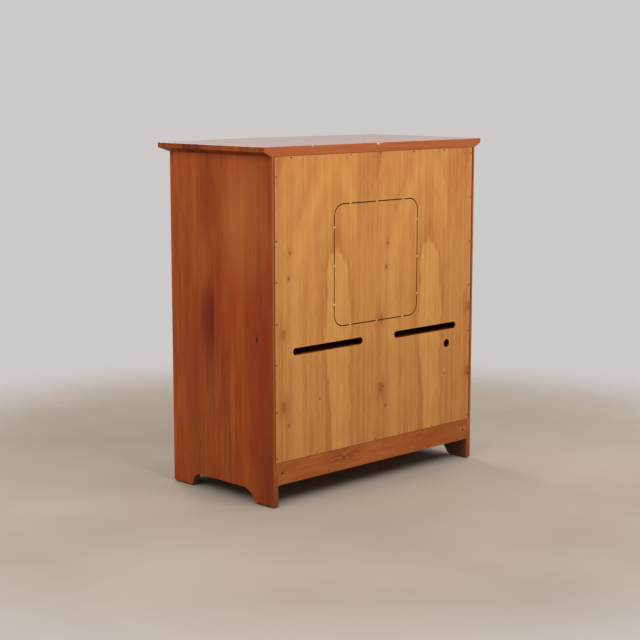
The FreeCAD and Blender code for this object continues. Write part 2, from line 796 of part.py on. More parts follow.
def hinge_leaf(name, hand, owner, level):
    """One butt hinge leaf: a plate with the knuckles that it owns, bored for the pin."""
    near, far = hinge_leaf_range(hand, owner)
    pieces = [block(
        name + "_plate",
        (near, hinge_face, level),
        (far, hinge_face + " + Sizes.hinge_leaf_width", level + " + Sizes.hinge_height"),
    )]
    pin_x = hinge_x if hand > 0 else minus(hinge_x)
    pitch = "(Sizes.hinge_height / 5)"
    owned = (0, 2, 4) if owner == "frame" else (1, 3)
    for number in owned:
        low = "(%s + %d * %s + Sizes.hinge_knuckle_play / 2)" % (level, number, pitch)
        height = "(" + pitch + " - Sizes.hinge_knuckle_play)"
        pieces.append(rod(name + "_knuckle", (pin_x, hinge_y, low), "Sizes.hinge_barrel_radius", height))
        pieces.append(block(name + "_arm", (near, hinge_y, low), (far, hinge_face, low + " + " + height)))
    bore_radius = "(Sizes.hinge_pin_radius + Sizes.hinge_pin_play)"
    bore_low = level + " - Sizes.overrun"
    bore_length = "Sizes.hinge_height + 2 * Sizes.overrun"
    bore = rod(name + "_bore", (pin_x, hinge_y, bore_low), bore_radius, bore_length)
    return cut(name, fuse(name + "_blank", pieces), [bore])


def hinge_pin(name, hand, level):
    """A hinge pin with a plain round tip above and below the barrel."""
    pin_x = hinge_x if hand > 0 else minus(hinge_x)
    tip_low = level + " - Sizes.hinge_tip_height"
    pin = rod(name + "_shaft", (pin_x, hinge_y, tip_low), "Sizes.hinge_pin_radius",
              "Sizes.hinge_height + 2 * Sizes.hinge_tip_height")
    tips = []
    for low in (tip_low, level + " + Sizes.hinge_height"):
        start = (pin_x, hinge_y, low)
        tips.append(rod(name + "_tip", start, "Sizes.hinge_barrel_radius", "Sizes.hinge_tip_height"))
    return fuse(name, [pin] + tips)


def make_hinges(door, hand):
    """The two butt hinges of a door: frame leaves, door leaves and pins."""
    for owner in ("frame", "door"):
        label = door + "_hinge_" + owner + "_leaves"
        leaves = [hinge_leaf(label + "_leaf", hand, owner, level) for level in hinge_levels]
        keep(group(label, leaves), label)
    label = door + "_hinge_pins"
    keep(group(label, [hinge_pin(label + "_pin", hand, level) for level in hinge_levels]), label)


def turned_knob(label, x, level):
    """A turned knob standing square to the bowed face at x."""
    body = doc.addObject("PartDesign::Body", label)
    sketch = body.newObject("Sketcher::SketchObject", label + "_outline")
    sketch.AttachmentSupport = [(origin_plane(body, "XY_Plane"), "")]
    sketch.MapMode = "FlatFace"
    cap = "((Sizes.knob_reach - Sizes.knob_neck_reach) / 2)"
    cap_middle = minus("Sizes.knob_neck_reach + " + cap)
    crown = "((Sizes.knob_radius ^ 2 + " + cap + " ^ 2) / (2 * " + cap + "))"
    flare = "((Sizes.knob_radius - Sizes.knob_neck_radius))"
    under = "((" + flare + " ^ 2 + " + cap + " ^ 2) / (2 * " + cap + "))"
    draw(sketch, [
        ("0", "0"),
        ("0", minus("Sizes.knob_reach"), crown, 1),
        ("Sizes.knob_radius", cap_middle, under, 1),
        ("Sizes.knob_neck_radius", minus("Sizes.knob_neck_reach")),
        ("Sizes.knob_foot_radius", "0"),
    ])
    turning = body.newObject("PartDesign::Revolution", label + "_turning")
    turning.Profile = sketch
    turning.ReferenceAxis = (sketch, ["V_Axis"])
    turning.Angle = 360
    place(body, x, bow(x), level)
    body.Placement.Rotation = FreeCAD.Rotation(FreeCAD.Vector(0, 0, 1), 1)
    body.setExpression("Placement.Rotation.Angle", "asin(" + x + " / Sizes.bow_radius)")
    return body


def stile_range(hand, place_name):
    """The X range of a door's outer or inner stile."""
    if place_name == "outer":
        return mirrored_range(hand, door_outer + " - Sizes.door_stile_width", door_outer)
    return mirrored_range(hand, door_inner, door_inner + " + Sizes.door_stile_width")


groove_front = "((Sizes.door_thickness - Sizes.door_groove_width) / 2)"
groove_back = "((Sizes.door_thickness + Sizes.door_groove_width) / 2)"
panel_side_near = "(" + door_inner + " + Sizes.door_stile_width)"
panel_side_far = "(" + door_outer + " - Sizes.door_stile_width)"


def make_door_stile(door, hand, place_name):
    """A bowed door stile, grooved on its inner edge for the rails and the panel."""
    label = door + "_stile_" + place_name
    low, high = stile_range(hand, place_name)
    board = bowed_strip(label + "_board", low, high, door_low, door_high, "0", "Sizes.door_thickness")
    near = panel_side_near + " - Sizes.door_groove_depth"
    far = panel_side_far + " + Sizes.door_groove_depth"
    left, right = mirrored_range(hand, near, far)
    low = door_low + " - Sizes.overrun"
    high = door_high + " + Sizes.overrun"
    groove = bowed_strip(label + "_groove", left, right, low, high, groove_front, groove_back)
    tools = [groove]
    if place_name == "outer":
        tools += hinge_mortises(label, hand, "door")
    else:
        tools.append(catch_plate_strip(label + "_plate_recess", hand))
    keep(cut(label, board, tools), label)


def make_door_rail(door, hand, place_name):
    """A bowed door rail, tongued into the stiles and grooved for the panel."""
    label = door + "_rail_" + place_name
    if place_name == "bottom":
        low, high = door_low, door_low + " + Sizes.door_rail_height"
        groove_low, groove_high = high + " - Sizes.door_groove_depth", high + " + Sizes.overrun"
    else:
        low, high = door_high + " - Sizes.door_rail_height", door_high
        groove_low, groove_high = low + " - Sizes.overrun", low + " + Sizes.door_groove_depth"
    left, right = mirrored_range(hand, panel_side_near, panel_side_far)
    board = bowed_strip(label + "_board", left, right, low, high, "0", "Sizes.door_thickness")
    reach = " + Sizes.door_groove_depth"
    left, right = mirrored_range(hand, panel_side_near + " - Sizes.door_groove_depth", panel_side_far + reach)
    tongue = bowed_strip(label + "_tongue", left, right, low, high, groove_front, groove_back)
    groove = bowed_strip(label + "_groove", left, right, groove_low, groove_high, groove_front, groove_back)
    keep(cut(label, fuse(label + "_blank", [board, tongue]), [groove]), label)


def make_door_panel(door, hand):
    """A bowed panel with a raised field, bevelled down to the tongue that lies in the grooves."""
    label = door + "_panel"
    body = doc.addObject("PartDesign::Body", label)
    held = "(Sizes.door_groove_depth - Sizes.panel_tongue_play)"
    rail = "Sizes.door_rail_height"
    layers = (
        ("tongue", "-" + held, rail + " - " + held, groove_front, groove_back),
        ("field", "Sizes.panel_field_inset", rail + " + Sizes.panel_field_inset", "Sizes.panel_face_drop",
         groove_front + " + Sizes.door_groove_width / 2"),
    )
    for name, inset, margin, front, back in layers:
        near = panel_side_near + " + " + inset
        far = panel_side_far + " - (" + inset + ")"
        left, right = mirrored_range(hand, near, far)
        outer = "(Sizes.bow_radius - (" + front + "))"
        inner = "(Sizes.bow_radius - (" + back + "))"
        sketch = body.newObject("Sketcher::SketchObject", label + "_" + name + "_outline")
        sketch.AttachmentSupport = [(origin_plane(body, "XY_Plane"), "")]
        sketch.MapMode = "FlatFace"
        sketch.setExpression("AttachmentOffset.Base.z", door_low + " + " + margin)
        draw(sketch, [
            (left, bow(left, front), outer, 1),
            (right, bow(right, front)),
            (right, bow(right, back), inner, -1),
            (left, bow(left, back)),
        ])
        pad = body.newObject("PartDesign::Pad", label + "_" + name)
        pad.Profile = sketch
        pad.setExpression("Length", door_high + " - " + door_low + " - 2 * (" + margin + ")")
    doc.recompute()
    bowed_faces = [face for face in pad.Shape.Faces if hasattr(face.Surface, "Radius")]
    rim = max(bowed_faces, key=lambda face: face.Surface.Radius).Edges
    bevel = body.newObject("PartDesign::Chamfer", label + "_bevel")
    bevel.Base = (pad, fitted_edges(pad.Shape, lambda edge: any(edge.isSame(other) for other in rim)))
    bevel.ChamferType = "Two distances"
    bevel.setExpression("Size", "Sizes.panel_bevel_drop")
    bevel.setExpression("Size2", "Sizes.panel_bevel_run")
    keep(body, label)


def catch_plate_strip(name, hand):
    """The steel plate let into a door's back, and the recess that it lies in."""
    near = "Sizes.catch_inset"
    left, right = mirrored_range(hand, near, near + " + Sizes.catch_width")
    low = door_high + " - Sizes.catch_height / 2"
    front = "(Sizes.door_thickness - Sizes.catch_plate_thickness)"
    return bowed_strip(name, left, right, low, door_high, front, "Sizes.door_thickness")


def make_catches():
    """Magnetic catches on the back of the top rail, reaching down behind each door."""
    front = "(Sizes.frame_thickness + Sizes.catch_gap)"
    back = "(Sizes.frame_thickness + Sizes.catch_gap + Sizes.catch_depth)"
    low = door_high + " - Sizes.catch_height / 2"
    catches = []
    for hand in (1, -1):
        left, right = mirrored_range(hand, "Sizes.catch_inset", "Sizes.catch_inset + Sizes.catch_width")
        catches.append(bowed_strip("catch", left, right, low, low + " + Sizes.catch_height", front, back))
    keep(group("door_catches", catches), "door_catches")


def make_door(door, hand):
    for place_name in ("outer", "inner"):
        make_door_stile(door, hand, place_name)
    for place_name in ("top", "bottom"):
        make_door_rail(door, hand, place_name)
    make_door_panel(door, hand)
    keep(catch_plate_strip(door + "_catch_plate", hand), door + "_catch_plate")
    middle = "(" + door_inner + " + Sizes.door_stile_width / 2)"
    x = middle if hand > 0 else minus(middle)
    keep(turned_knob(door + "_knob", x, "Sizes.knob_level"), door + "_knob")
    make_hinges(door, hand)


def make_drawer(drawer, hand):
    """A drawer with a bowed front, two sides cut to meet it, a back and a bottom in grooves."""
    mullion_half = "(Sizes.mullion_width / 2)"
    front_near = "(" + mullion_half + " + Sizes.door_gap)"
    front_far = "(" + frame_half + " - Sizes.door_gap)"
    box_near = "(" + mullion_half + " + Sizes.drawer_side_gap)"
    box_far = "(" + frame_half + " - Sizes.drawer_side_gap)"
    low = "(" + floor_level + " + Sizes.drawer_float)"
    high = "(" + low + " + Sizes.drawer_side_height)"
    back = "(" + rear + " - Sizes.drawer_rear_gap)"
    thickness = "Sizes.drawer_side_thickness"
    groove_low = "(" + low + " + Sizes.drawer_bottom_rise)"
    groove_high = "(" + groove_low + " + Sizes.drawer_bottom_thickness)"
    groove_depth = "(" + thickness + " / 2)"
    left, right = mirrored_range(hand, box_near + " + " + groove_depth, box_far + " - " + groove_depth)
    bottom_front = "(Sizes.drawer_front_thickness - " + groove_depth + ")"

    def groove(name):
        groove_back = back + " + Sizes.overrun"
        return bow_fronted_board(name, left, right, groove_back, groove_low, groove_high, bottom_front)

    near, far = mirrored_range(hand, front_near, front_far)
    front_low = floor_level + " + Sizes.door_gap"
    front_high = rail_bottom + " - Sizes.door_gap"
    front = bowed_strip(
        drawer + "_front_board", near, far, front_low, front_high, "0", "Sizes.drawer_front_thickness")
    keep(cut(drawer + "_front", front, [groove(drawer + "_front_groove")]), drawer + "_front")
    for name, side_near, side_far in (
        ("inner", box_near, box_near + " + " + thickness),
        ("outer", box_far + " - " + thickness, box_far),
    ):
        label = drawer + "_side_" + name
        side_left, side_right = mirrored_range(hand, side_near, side_far)
        board = bow_fronted_board(
            label + "_board", side_left, side_right, back, low, high, "Sizes.drawer_front_thickness")
        keep(cut(label, board, [groove(label + "_groove")]), label)
    near, far = mirrored_range(hand, box_near + " + " + thickness, box_far + " - " + thickness)
    board = block(drawer + "_back", (near, back + " - " + thickness, groove_high), (far, back, high))
    keep(board, drawer + "_back")
    play = "Sizes.drawer_bottom_play"
    near, far = mirrored_range(
        hand, box_near + " + " + groove_depth + " + " + play, box_far + " - " + groove_depth + " - " + play)
    bottom = bow_fronted_board(
        drawer + "_bottom", near, far, back, groove_low, groove_high, bottom_front + " + " + play)
    keep(bottom, drawer + "_bottom")
    middle = "((" + front_near + " + " + front_far + ") / 2)"
    level = "((" + floor_level + " + " + rail_bottom + ") / 2)"
    x = middle if hand > 0 else minus(middle)
    keep(turned_knob(drawer + "_knob", x, level), drawer + "_knob")


make_top()
make_side("side_right", 1)
make_side("side_left", -1)
fixed_board("bottom_board", bottom_level)
fixed_board("drawer_deck", "Sizes.deck_level")
make_tv_shelf()
make_back_panel()
make_panel_nails()
make_rear_rails()
make_corner_blocks()
make_glides()
make_screws()
make_frame_stile("frame_stile_right", 1)
make_frame_stile("frame_stile_left", -1)
make_frame_rails()
make_front_apron()
make_drawer_divide()
make_catches()
make_door("door_right", 1)
make_door("door_left", -1)
make_drawer("drawer_right", 1)
make_drawer("drawer_left", -1)
doc.recompute()

# Check every object before anything is written
for item in doc.Objects:
    if "Invalid" in item.State or "Error" in item.State:
        raise RuntimeError("failed object: " + item.Label)
for piece in subparts:
    if piece.Shape.isNull() or not piece.Shape.isValid():
        raise RuntimeError("bad shape: " + piece.Label)

os.makedirs("parts", exist_ok=True)
for piece in subparts:
    piece.Shape.exportStep("parts/" + piece.Label + ".step")
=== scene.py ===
import bpy
import bmesh
import math
from mathutils import Matrix, Vector


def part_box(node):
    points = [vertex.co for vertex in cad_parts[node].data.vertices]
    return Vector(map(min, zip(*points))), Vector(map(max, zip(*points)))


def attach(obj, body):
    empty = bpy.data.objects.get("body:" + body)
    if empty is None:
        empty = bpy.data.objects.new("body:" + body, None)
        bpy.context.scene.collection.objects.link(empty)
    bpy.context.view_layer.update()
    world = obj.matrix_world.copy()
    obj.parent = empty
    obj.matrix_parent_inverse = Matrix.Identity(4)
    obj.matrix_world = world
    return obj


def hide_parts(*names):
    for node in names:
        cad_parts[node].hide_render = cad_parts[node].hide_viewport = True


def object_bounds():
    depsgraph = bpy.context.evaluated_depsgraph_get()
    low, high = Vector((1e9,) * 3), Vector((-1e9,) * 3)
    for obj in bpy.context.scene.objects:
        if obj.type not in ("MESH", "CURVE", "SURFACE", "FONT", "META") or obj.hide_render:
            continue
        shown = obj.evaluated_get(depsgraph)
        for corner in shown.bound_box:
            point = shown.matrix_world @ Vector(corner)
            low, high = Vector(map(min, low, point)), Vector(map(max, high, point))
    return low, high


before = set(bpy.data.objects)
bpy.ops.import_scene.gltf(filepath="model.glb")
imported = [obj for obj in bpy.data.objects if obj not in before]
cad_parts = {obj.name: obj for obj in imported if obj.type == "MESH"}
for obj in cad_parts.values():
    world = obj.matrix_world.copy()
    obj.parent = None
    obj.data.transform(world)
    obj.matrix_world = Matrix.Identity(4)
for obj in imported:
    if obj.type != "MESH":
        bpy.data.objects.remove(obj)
cad_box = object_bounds()

# Lengths are in metres. Colours are as a display shows them, from 0 to 255.

# Camera: its place and level aim, its pitch downwards in degrees, its lens and sensor in millimetres
CAMERA_PLACE = Vector((3.7919, 3.8522, 1.3885))
CAMERA_AIM = Vector((-0.7015, -0.7127, 0))
CAMERA_PITCH = 8.984
CAMERA_LENS = 86.96
SENSOR_WIDTH = 36

# Soft boxes: azimuth in degrees, height, distance, and share of a full exposure
SOFT_BOXES = (
    ("key_light", 180, 3.8, 3.0, 0.80),
    ("fill_light", 98, 3.2, 3.0, 0.48),
    ("front_light", -12, 3.4, 4.0, 0.50),
    ("left_light", -85, 3.2, 3.6, 0.30),
)
SOFT_BOX_SIZE = 2.4
AMBIENT_STRENGTH = 0.30

# Floor and background
FLOOR_RADIUS = 6
FLOOR_SIDES = 96
FLOOR_FADE_START = 1.35
FLOOR_FADE_END = 2.3
FLOOR_CLOUDS = (2.2, 2.2, 1)
FLOOR_ROUGHNESS = 0.75
FLOOR = {"pale": (163, 151, 137), "deep": (154, 141, 127)}
WALL = (205, 201, 201)
REFLECTED_ROOM = (190, 189, 188)

# Colours of the woods
STAINED = {
    "pale": (188, 97, 37), "deep": (142, 60, 19), "red": (158, 44, 10),
    "line": (92, 31, 9), "worn": (208, 124, 66),
}
APRON = {
    "pale": (190, 112, 54), "deep": (150, 79, 35), "red": (164, 72, 26),
    "line": (118, 42, 18), "worn": (206, 140, 90),
}
INNER = {
    "pale": (208, 165, 113), "deep": (178, 129, 81), "red": (192, 136, 84),
    "line": (150, 98, 58), "worn": (222, 188, 140),
}
VENEER = {"pale": (216, 155, 82), "deep": (181, 108, 54), "line": (150, 86, 42)}
# Sawn edges of the back: real plies, darkened as painted shade inside the cuts
SHADED_SAWN_EDGE = {"pale": (124, 70, 34), "deep": (70, 36, 18)}
KNOT = (112, 44, 22)
KNOT_HALO = (168, 88, 42)
# Painted shade in the joints of the back and apron, and the dark of the right side's small knot
PAINTED_JOINT_SHADE_AND_KNOT = (40, 18, 9)
RIM = (178, 103, 62)
SCUFF = (226, 200, 176)
FLAME = (84, 16, 0)
TORN = (228, 186, 128)
# Painted shade on the inner faces of the feet
FOOT_PAINTED_SHADE = (92, 80, 68)

# Metals with their least roughness, and plastics
BRASS = {"plain": (196, 160, 98), "tarnished": (120, 86, 44), "roughness": 0.28}
STEEL = {"plain": (176, 172, 166), "tarnished": (104, 92, 80), "roughness": 0.32}
# Nail heads: rusty steel, darkened further as painted shade of the holes they are set in
NAIL_STEEL_AND_HOLE_SHADE = {"plain": (58, 42, 32), "tarnished": (34, 22, 16), "roughness": 0.5}
CATCH_PLASTIC = {"plain": (92, 58, 38), "scuffed": (150, 110, 80)}
GLIDE_PLASTIC = {"plain": (62, 48, 40), "scuffed": (120, 104, 92)}

# Every material: the span that most noise values lie in, the offset of each seed, edges and relief
NOISE_SPAN = (0.28, 0.72)
SEED_OFFSET = (3.7, 5.3, 7.1)
EDGE_ROUNDING = 0.0011
EDGE_TURN = (0.995, 0.90)
BUMP_STRENGTH = 0.6
RELIEF = 0.00012

# How squarely a face has to look one way: the cosines where a mask starts and where it is full
FACING = (0.5, 0.9)
POLISH_FACING = (0.5, 0.95)
SAWN_FACING = (0.6, 0.4)
TOP_END_FACING = (0.3, 0.4)
MOULDING_FACING = (-0.4, -0.7)
FOOT_EDGE_FACING = (0.6, 0.3)
FOOT_INNER_FACING = (-0.3, -0.6)

# Annual rings: their width, and the heart of the log beside the board
RING_WIDTH = 0.0052
RING_SHARPNESS = 4
HEART_DEPTH = 0.07
HEART_SHIFT = 0.045
TREE_TAPER = 0.016

# Noise in wood, as patches to the metre across a board, through it and along its grain
RING_WANDER = (0.8, 0.8, 1.3)
RING_RIPPLE = (22, 22, 5)
BROAD_BANDS = (13, 13, 1.6)
STREAKS = (62, 62, 1.9)
RED_PATCHES = (24, 24, 5)
FIBRES = (700, 700, 22)
GUM_CELLS = (190, 190, 16)
RUBBED_PATCHES = (26, 26, 26)
SMEARS = (9, 9, 5)

# How strongly each layer of the wood shows, and the tones and roughness that it spreads over
STREAK_SHARE = 0.42
FIGURE_SPAN = (0.05, 0.95)
RED_SPAN = (0.25, 0.85)
RED_STRENGTH = 0.42
RING_STRENGTH = 0.20
GUM_EDGE = (0.24, 0.08)
GUM_RARITY = (0.93, 0.95)
GUM_STRENGTH = 0.6
RUBBED_SPAN = (0.42, 0.85)
WORN_STRENGTH = 0.55
BOARD_TONES = (0.72, 1.28)
FIBRE_TONES = (0.93, 1.07)
END_GRAIN_TONE = 0.7
WOOD_ROUGHNESS = (0.33, 0.43)
FIBRE_ROUGHNESS = 0.05
FIBRE_RELIEF = 0.6
RING_RELIEF = 0.5

# Reflection of satin wood, and of the rubbed upper face of the top with its coat of polish
SATIN_REFLECTION = 0.14
RUBBED_REFLECTION = 0.5
POLISH_ROUGHNESS = 0.14

# Boards glued side by side: where each starts, as a share of the width, and its tone
ONE_BOARD = ((0, 0.5),)
TOP_BOARDS = ((0, 0.56), (0.150, 0.50), (0.300, 0.30), (0.485, 0.52), (0.655, 0.62), (0.790, 0.52))
SIDE_BOARDS = ((0, 0.51), (0.41, 0.49), (0.72, 0.52))
SHELF_BOARDS = ((0, 0.50), (0.26, 0.34), (0.50, 0.60), (0.77, 0.44))

# Rear edges: streaks to the metre along X, Y and Z, their tones, and how pale the edge of each piece is
UPRIGHT_STREAKS = (120, 40, 5)
LEVEL_STREAKS = (5, 40, 120)
RIM_TONES = (0.78, 1.14)
RIGHT_RIM_STRENGTH = 0.45
LEFT_RIM_STRENGTH = 0.6
TOP_RIM_STRENGTH = 0.6

# Painted shade on the feet: the height over which it darkens their edges towards the floor, their tone there,
# and its strength on their inner faces
FOOT_SHADE_HEIGHT = 0.16
FOOT_EDGE_SHADE_TONE = 0.6
FOOT_INNER_SHADE_STRENGTH = 0.7

# Tone of the right side at shares of its depth, painted shade that darkens it towards the floor, and a
# painted band of light beneath its overhanging top
SIDE_TONES = (
    (0, 0.50), (0.10, 0.46), (0.20, 0.44), (0.28, 0.48), (0.407, 0.44), (0.413, 0.50),
    (0.52, 0.44), (0.58, 0.62), (0.73, 0.52), (0.84, 0.42), (1, 0.28),
)
SIDE_TONE_SPAN = (0.68, 1.32)
SIDE_PAINTED_SHADE_BELOW = 0.10
PAINTED_LIGHT_BAND_HEIGHT = 0.045
PAINTED_LIGHT_BAND_TONE = 1.35

# The dark flame that ends at a joint of the right side
FLAME_SHIFT = 0.004
FLAME_LEVEL = 0.590
FLAME_HALF_WIDTH = 0.105
FLAME_HALF_HEIGHT = 0.19
FLAME_STRENGTH = 0.90

# The small knot near the right side's rear edge
SIDE_KNOT_INSET = 0.076
SIDE_KNOT_LEVEL = 0.548
SIDE_KNOT_HALF_WIDTH = 0.0058
SIDE_KNOT_HALF_HEIGHT = 0.022

# Paler, darker and redder places on the right side: share of depth, level, half width, half height, strength
# The first paler place, high up, is partly painted light
SIDE_PALE_PLACES_AND_LIGHT = (
    (0.73, 0.95, 0.17, 0.36, 0.34),
    (0.595, 0.30, 0.021, 0.34, 0.26),
    (0.27, 0.80, 0.06, 0.17, 0.14),
)
# The first darker place, low at the rear, is partly painted shade
SIDE_DARK_PLACES_AND_SHADE = (
    (0.97, 0.16, 0.12, 0.46, 0.35),
    (0.535, 0.34, 0.030, 0.30, 0.36),
    (0.485, 0.44, 0.006, 0.08, 0.40),
    (0.34, 0.50, 0.080, 0.28, 0.28),
    (0.90, 0.58, 0.10, 0.36, 0.22),
)
SIDE_REDS = (
    (0.90, 0.50, 0.13, 0.62, 0.36),
    (0.55, 0.52, 0.24, 0.34, 0.28),
)

# The top: painted shade on its upper face, which the lamps light most, and on the undersides of its end
# mouldings, and its ends' tones at shares of its depth
UPPER_FACE_PAINTED_SHADE = 0.78
MOULDING_PAINTED_SHADE = 0.54
END_TONES = (
    (0, 0.70), (0.28, 0.68), (0.30, 0.22), (0.45, 0.24), (0.485, 0.64), (0.62, 0.58),
    (0.66, 0.76), (0.77, 0.70), (0.80, 0.50), (0.90, 0.62), (1, 0.50),
)
END_TONE_SPAN = (0.5, 1.5)

# Scuffs along the top's rear edge: place across and half width
RIM_SCUFFS = ((0.006, 0.014), (-0.012, 0.004), (0.315, 0.004))
SCUFF_HALF_HEIGHT = 0.010
SCUFF_GRAIN = (240, 240, 240)
SCUFF_SPAN = (0.45, 0.6)

# Width of the painted shade in the joints at the rear apron's top edge and at the top and bottom of the back
JOINT_SHADE_WIDTH = 0.0016

# The rear apron: slanting patches, ends darker from one distance off its middle to another, the strength of
# the painted shade in the joint along its top edge, and a swirl
APRON_SEED = 7
APRON_SLANT = 1.6
APRON_PATCHES = (7, 1, 26)
APRON_PATCH_TONES = (0.78, 1.16)
APRON_END_SPAN = (0.10, 0.45)
APRON_END_TONE = 0.88
APRON_JOINT_SHADE_STRENGTH = 0.75
SWIRL_MIDDLE = (0.170, 0.118)
SWIRL_HALF_WIDTH = 0.130
SWIRL_HALF_HEIGHT = 0.040
SWIRL_CURLS = (34, 34, 110)
SWIRL_SPAN = (0.25, 0.75)
SWIRL_STRENGTH = 0.78

# Veneer leaves of the back, laid side by side from one log, each cut a little deeper in it
LEAF_START = 0.107
LEAF_WIDTH = 0.4576
LEAF_SHIFT = LEAF_WIDTH / 100

# Noise in the veneer, as patches to the metre across a leaf, into the log and up it
VENEER_STREAKS = (85, 9, 1.1)
VENEER_STRIPES = (260, 9, 2.4)
VENEER_PORES = (900, 9, 26)
VENEER_MOTTLE = (24, 9, 9)
VENEER_SMEARS = (9, 9, 4)

# How strongly each layer of the veneer shows, and the tones and roughness that it spreads over
VENEER_STREAK_SHARE = 0.34
VENEER_STRIPE_SHARE = 0.13
VENEER_MOTTLE_SHARE = 0.22
VENEER_FIGURE_SPAN = (0.18, 0.82)
# Painted shade deepens the veneer towards the floor, up to this level, by this much
VENEER_SHADE_TOP_LEVEL = 0.75
VENEER_PAINTED_SHADE_BELOW = 0.16
VENEER_LINE_STRENGTH = 0.20
VENEER_PORE_TONES = (0.93, 1.05)
# Strength of the painted shade in the back's top and bottom joints
VENEER_JOINT_SHADE_STRENGTH = 0.8
VENEER_ROUGHNESS = (0.38, 0.50)
PORE_RELIEF = 0.7
VENEER_LINE_RELIEF = 0.2

# Plies seen on the sawn edges, a pale and a dark one to each pair
PLY_PAIRS = 2.5
PLY_SPAN = (0.45, 0.55)

# Growth rings that stand in arches: where on a leaf, how they lean and spread, and how far they reach
ARCH_MIDDLE = 0.3716
ARCH_LEVEL = 0.74
ARCH_LEAN = 0.0386
ARCH_LEFT_SPREAD = 0.68
ARCH_RIGHT_SPREAD = 1.1
ARCH_DEPTH = 0.03
ARCH_LOW = -0.10
ARCH_HIGH = 0.02
ARCH_REACH = 0.26
ARCH_WOBBLES = (6, 8, 3)
ARCH_WOBBLE = 0.007
ARCH_RIPPLES = (40, 8, 9)
ARCH_RIPPLE = 0.006
ARCH_LINE_PITCH = 0.0068
ARCH_LINE_SHARPNESS = 3

# How far the arches have risen at shares of the height, and their tone at shares of their reach
ARCH_RISES = (
    (0, 0.96), (0.22, 0.98), (0.43, 1), (0.58, 0.98), (0.62, 0.94), (0.65, 0.87), (0.67, 0.80), (0.77, 0.61),
    (0.88, 0.32), (1, 0),
)
ARCH_TONES = (
    (0, 1), (0.125, 1), (0.14, 0.24), (0.17, 0.26), (0.22, 0.54), (0.29, 0.60), (0.37, 0.54),
    (0.47, 0.88), (0.55, 0.70), (0.62, 0.42), (0.77, 0.56), (0.865, 0.46), (0.96, 0.46), (1, 0.20),
)

# Kinds of knot, as shares: how far the solid core reaches, and how much paler the eye is
LARGE_KNOT = (0.1, 0.55)
PITCH_MARK = (0.5, 0)

# Knots of a leaf: place across it, level, half width and kind
KNOTS = (
    (0.120, 0.566, 0.015, LARGE_KNOT),
    (0.143, 0.746, 0.0055, PITCH_MARK),
    (0.151, 0.827, 0.004, PITCH_MARK),
    (0.120, 0.330, 0.015, LARGE_KNOT),
    (0.144, 0.264, 0.004, PITCH_MARK),
)
KNOT_HEIGHT_SHARE = 1.8
EYE_WIDTH_SHARE = 0.7
EYE_HEIGHT_SHARE = 1.1
EYE_CORE = 0.2
HALO_WIDTH_SHARE = 3
HALO_HEIGHT_SHARE = 5
KNOT_EDGE_GRAIN = (170, 170, 110)
KNOT_EDGE_TONES = (0.35, 1)
KNOT_STRENGTH = 0.85
HALO_STRENGTH = 0.42

# The knock-out in the back: its middle, how far its kerf lies from it, and the torn bridges along each side
KNOCKOUT_MIDDLE = (0.0108, 0.769)
KNOCKOUT_REACH = 0.203
BRIDGE_PITCH = 0.1283
BRIDGE_MARK = 0.007
TORN_STRENGTH = 0.45

# Surface of metal and plastic: patches to the metre, and what they add
TARNISH_PATCHES = (160, 160, 160)
TARNISH_SPAN = (0.35, 0.85)
TARNISH_ROUGHNESS = 0.2
DRAWN_SCRATCHES = (2600, 2600, 120)
SCRATCH_ROUGHNESS = 0.08
METAL_REFLECTION = 0.5
MOULDED_GRAIN = (1400, 1400, 1400)
PLASTIC_SCUFFS = (120, 120, 120)
PLASTIC_SCUFF_SPAN = (0.5, 0.95)
PLASTIC_SCUFF_STRENGTH = 0.5
PLASTIC_ROUGHNESS = (0.42, 0.62)
PLASTIC_REFLECTION = 0.4

# Heads of nails and screws
TURNED_SIDES = 28
DOME_STEPS = 5
HEAD_FOOT_SHARE = 0.9
NAIL_HEAD_RADIUS = 0.0028
NAIL_HEAD_DOME = 0.0005
SCREW_HEAD_RADIUS = 0.0039
SCREW_HEAD_DOME = 0.0010
HINGE_SCREW_RADIUS = 0.0030
HINGE_SCREW_DOME = 0.0004

# A screw's slot: length and width as shares of the head's radius, and height as a share of its dome
SLOT_LENGTH_SHARE = 3
SLOT_WIDTH_SHARE = 0.22
SLOT_HEIGHT_SHARE = 1.6

# How far the outer corners of a head may lie off its outermost level, and from its first corner
HEAD_FLATNESS = 0.00012
HEAD_REACH = SCREW_HEAD_RADIUS * 3

# Where heads face, and the axis and the end of it, 0 low and 1 high, that they lie at
BACKWARD = (0, 1, 0)
DOWNWARD = (0, 0, -1)
OUTER_ENDS = {BACKWARD: (1, 1), DOWNWARD: (2, 0)}

# Rows of slotted heads: how far in radians the first slot is turned, and how much further each next one
SCREW_ROWS = (
    ("apron_screw_heads", "apron_screws", BACKWARD, 0.6, 1.3),
    ("top_screw_heads", "top_screws", DOWNWARD, 0, 0.9),
)
HINGE_SCREW_TURN = 0.7

# Screws of a hinge leaf: shares of its height, and of its depth from the front
HINGE_SCREW_LEVEL_SHARES = (0.16, 0.50, 0.84)
HINGE_SCREW_DEPTH_SHARE = 0.64

# A foot glide's outline as shares of its radius and height, and a reach across it as a share of its height
GLIDE_SHARES = ((0, 0), (0.62, 0), (0.86, 0.12), (0.98, 0.4), (1, 0.7), (0.96, 1), (0, 1))
GLIDE_REACH_SHARE = 5


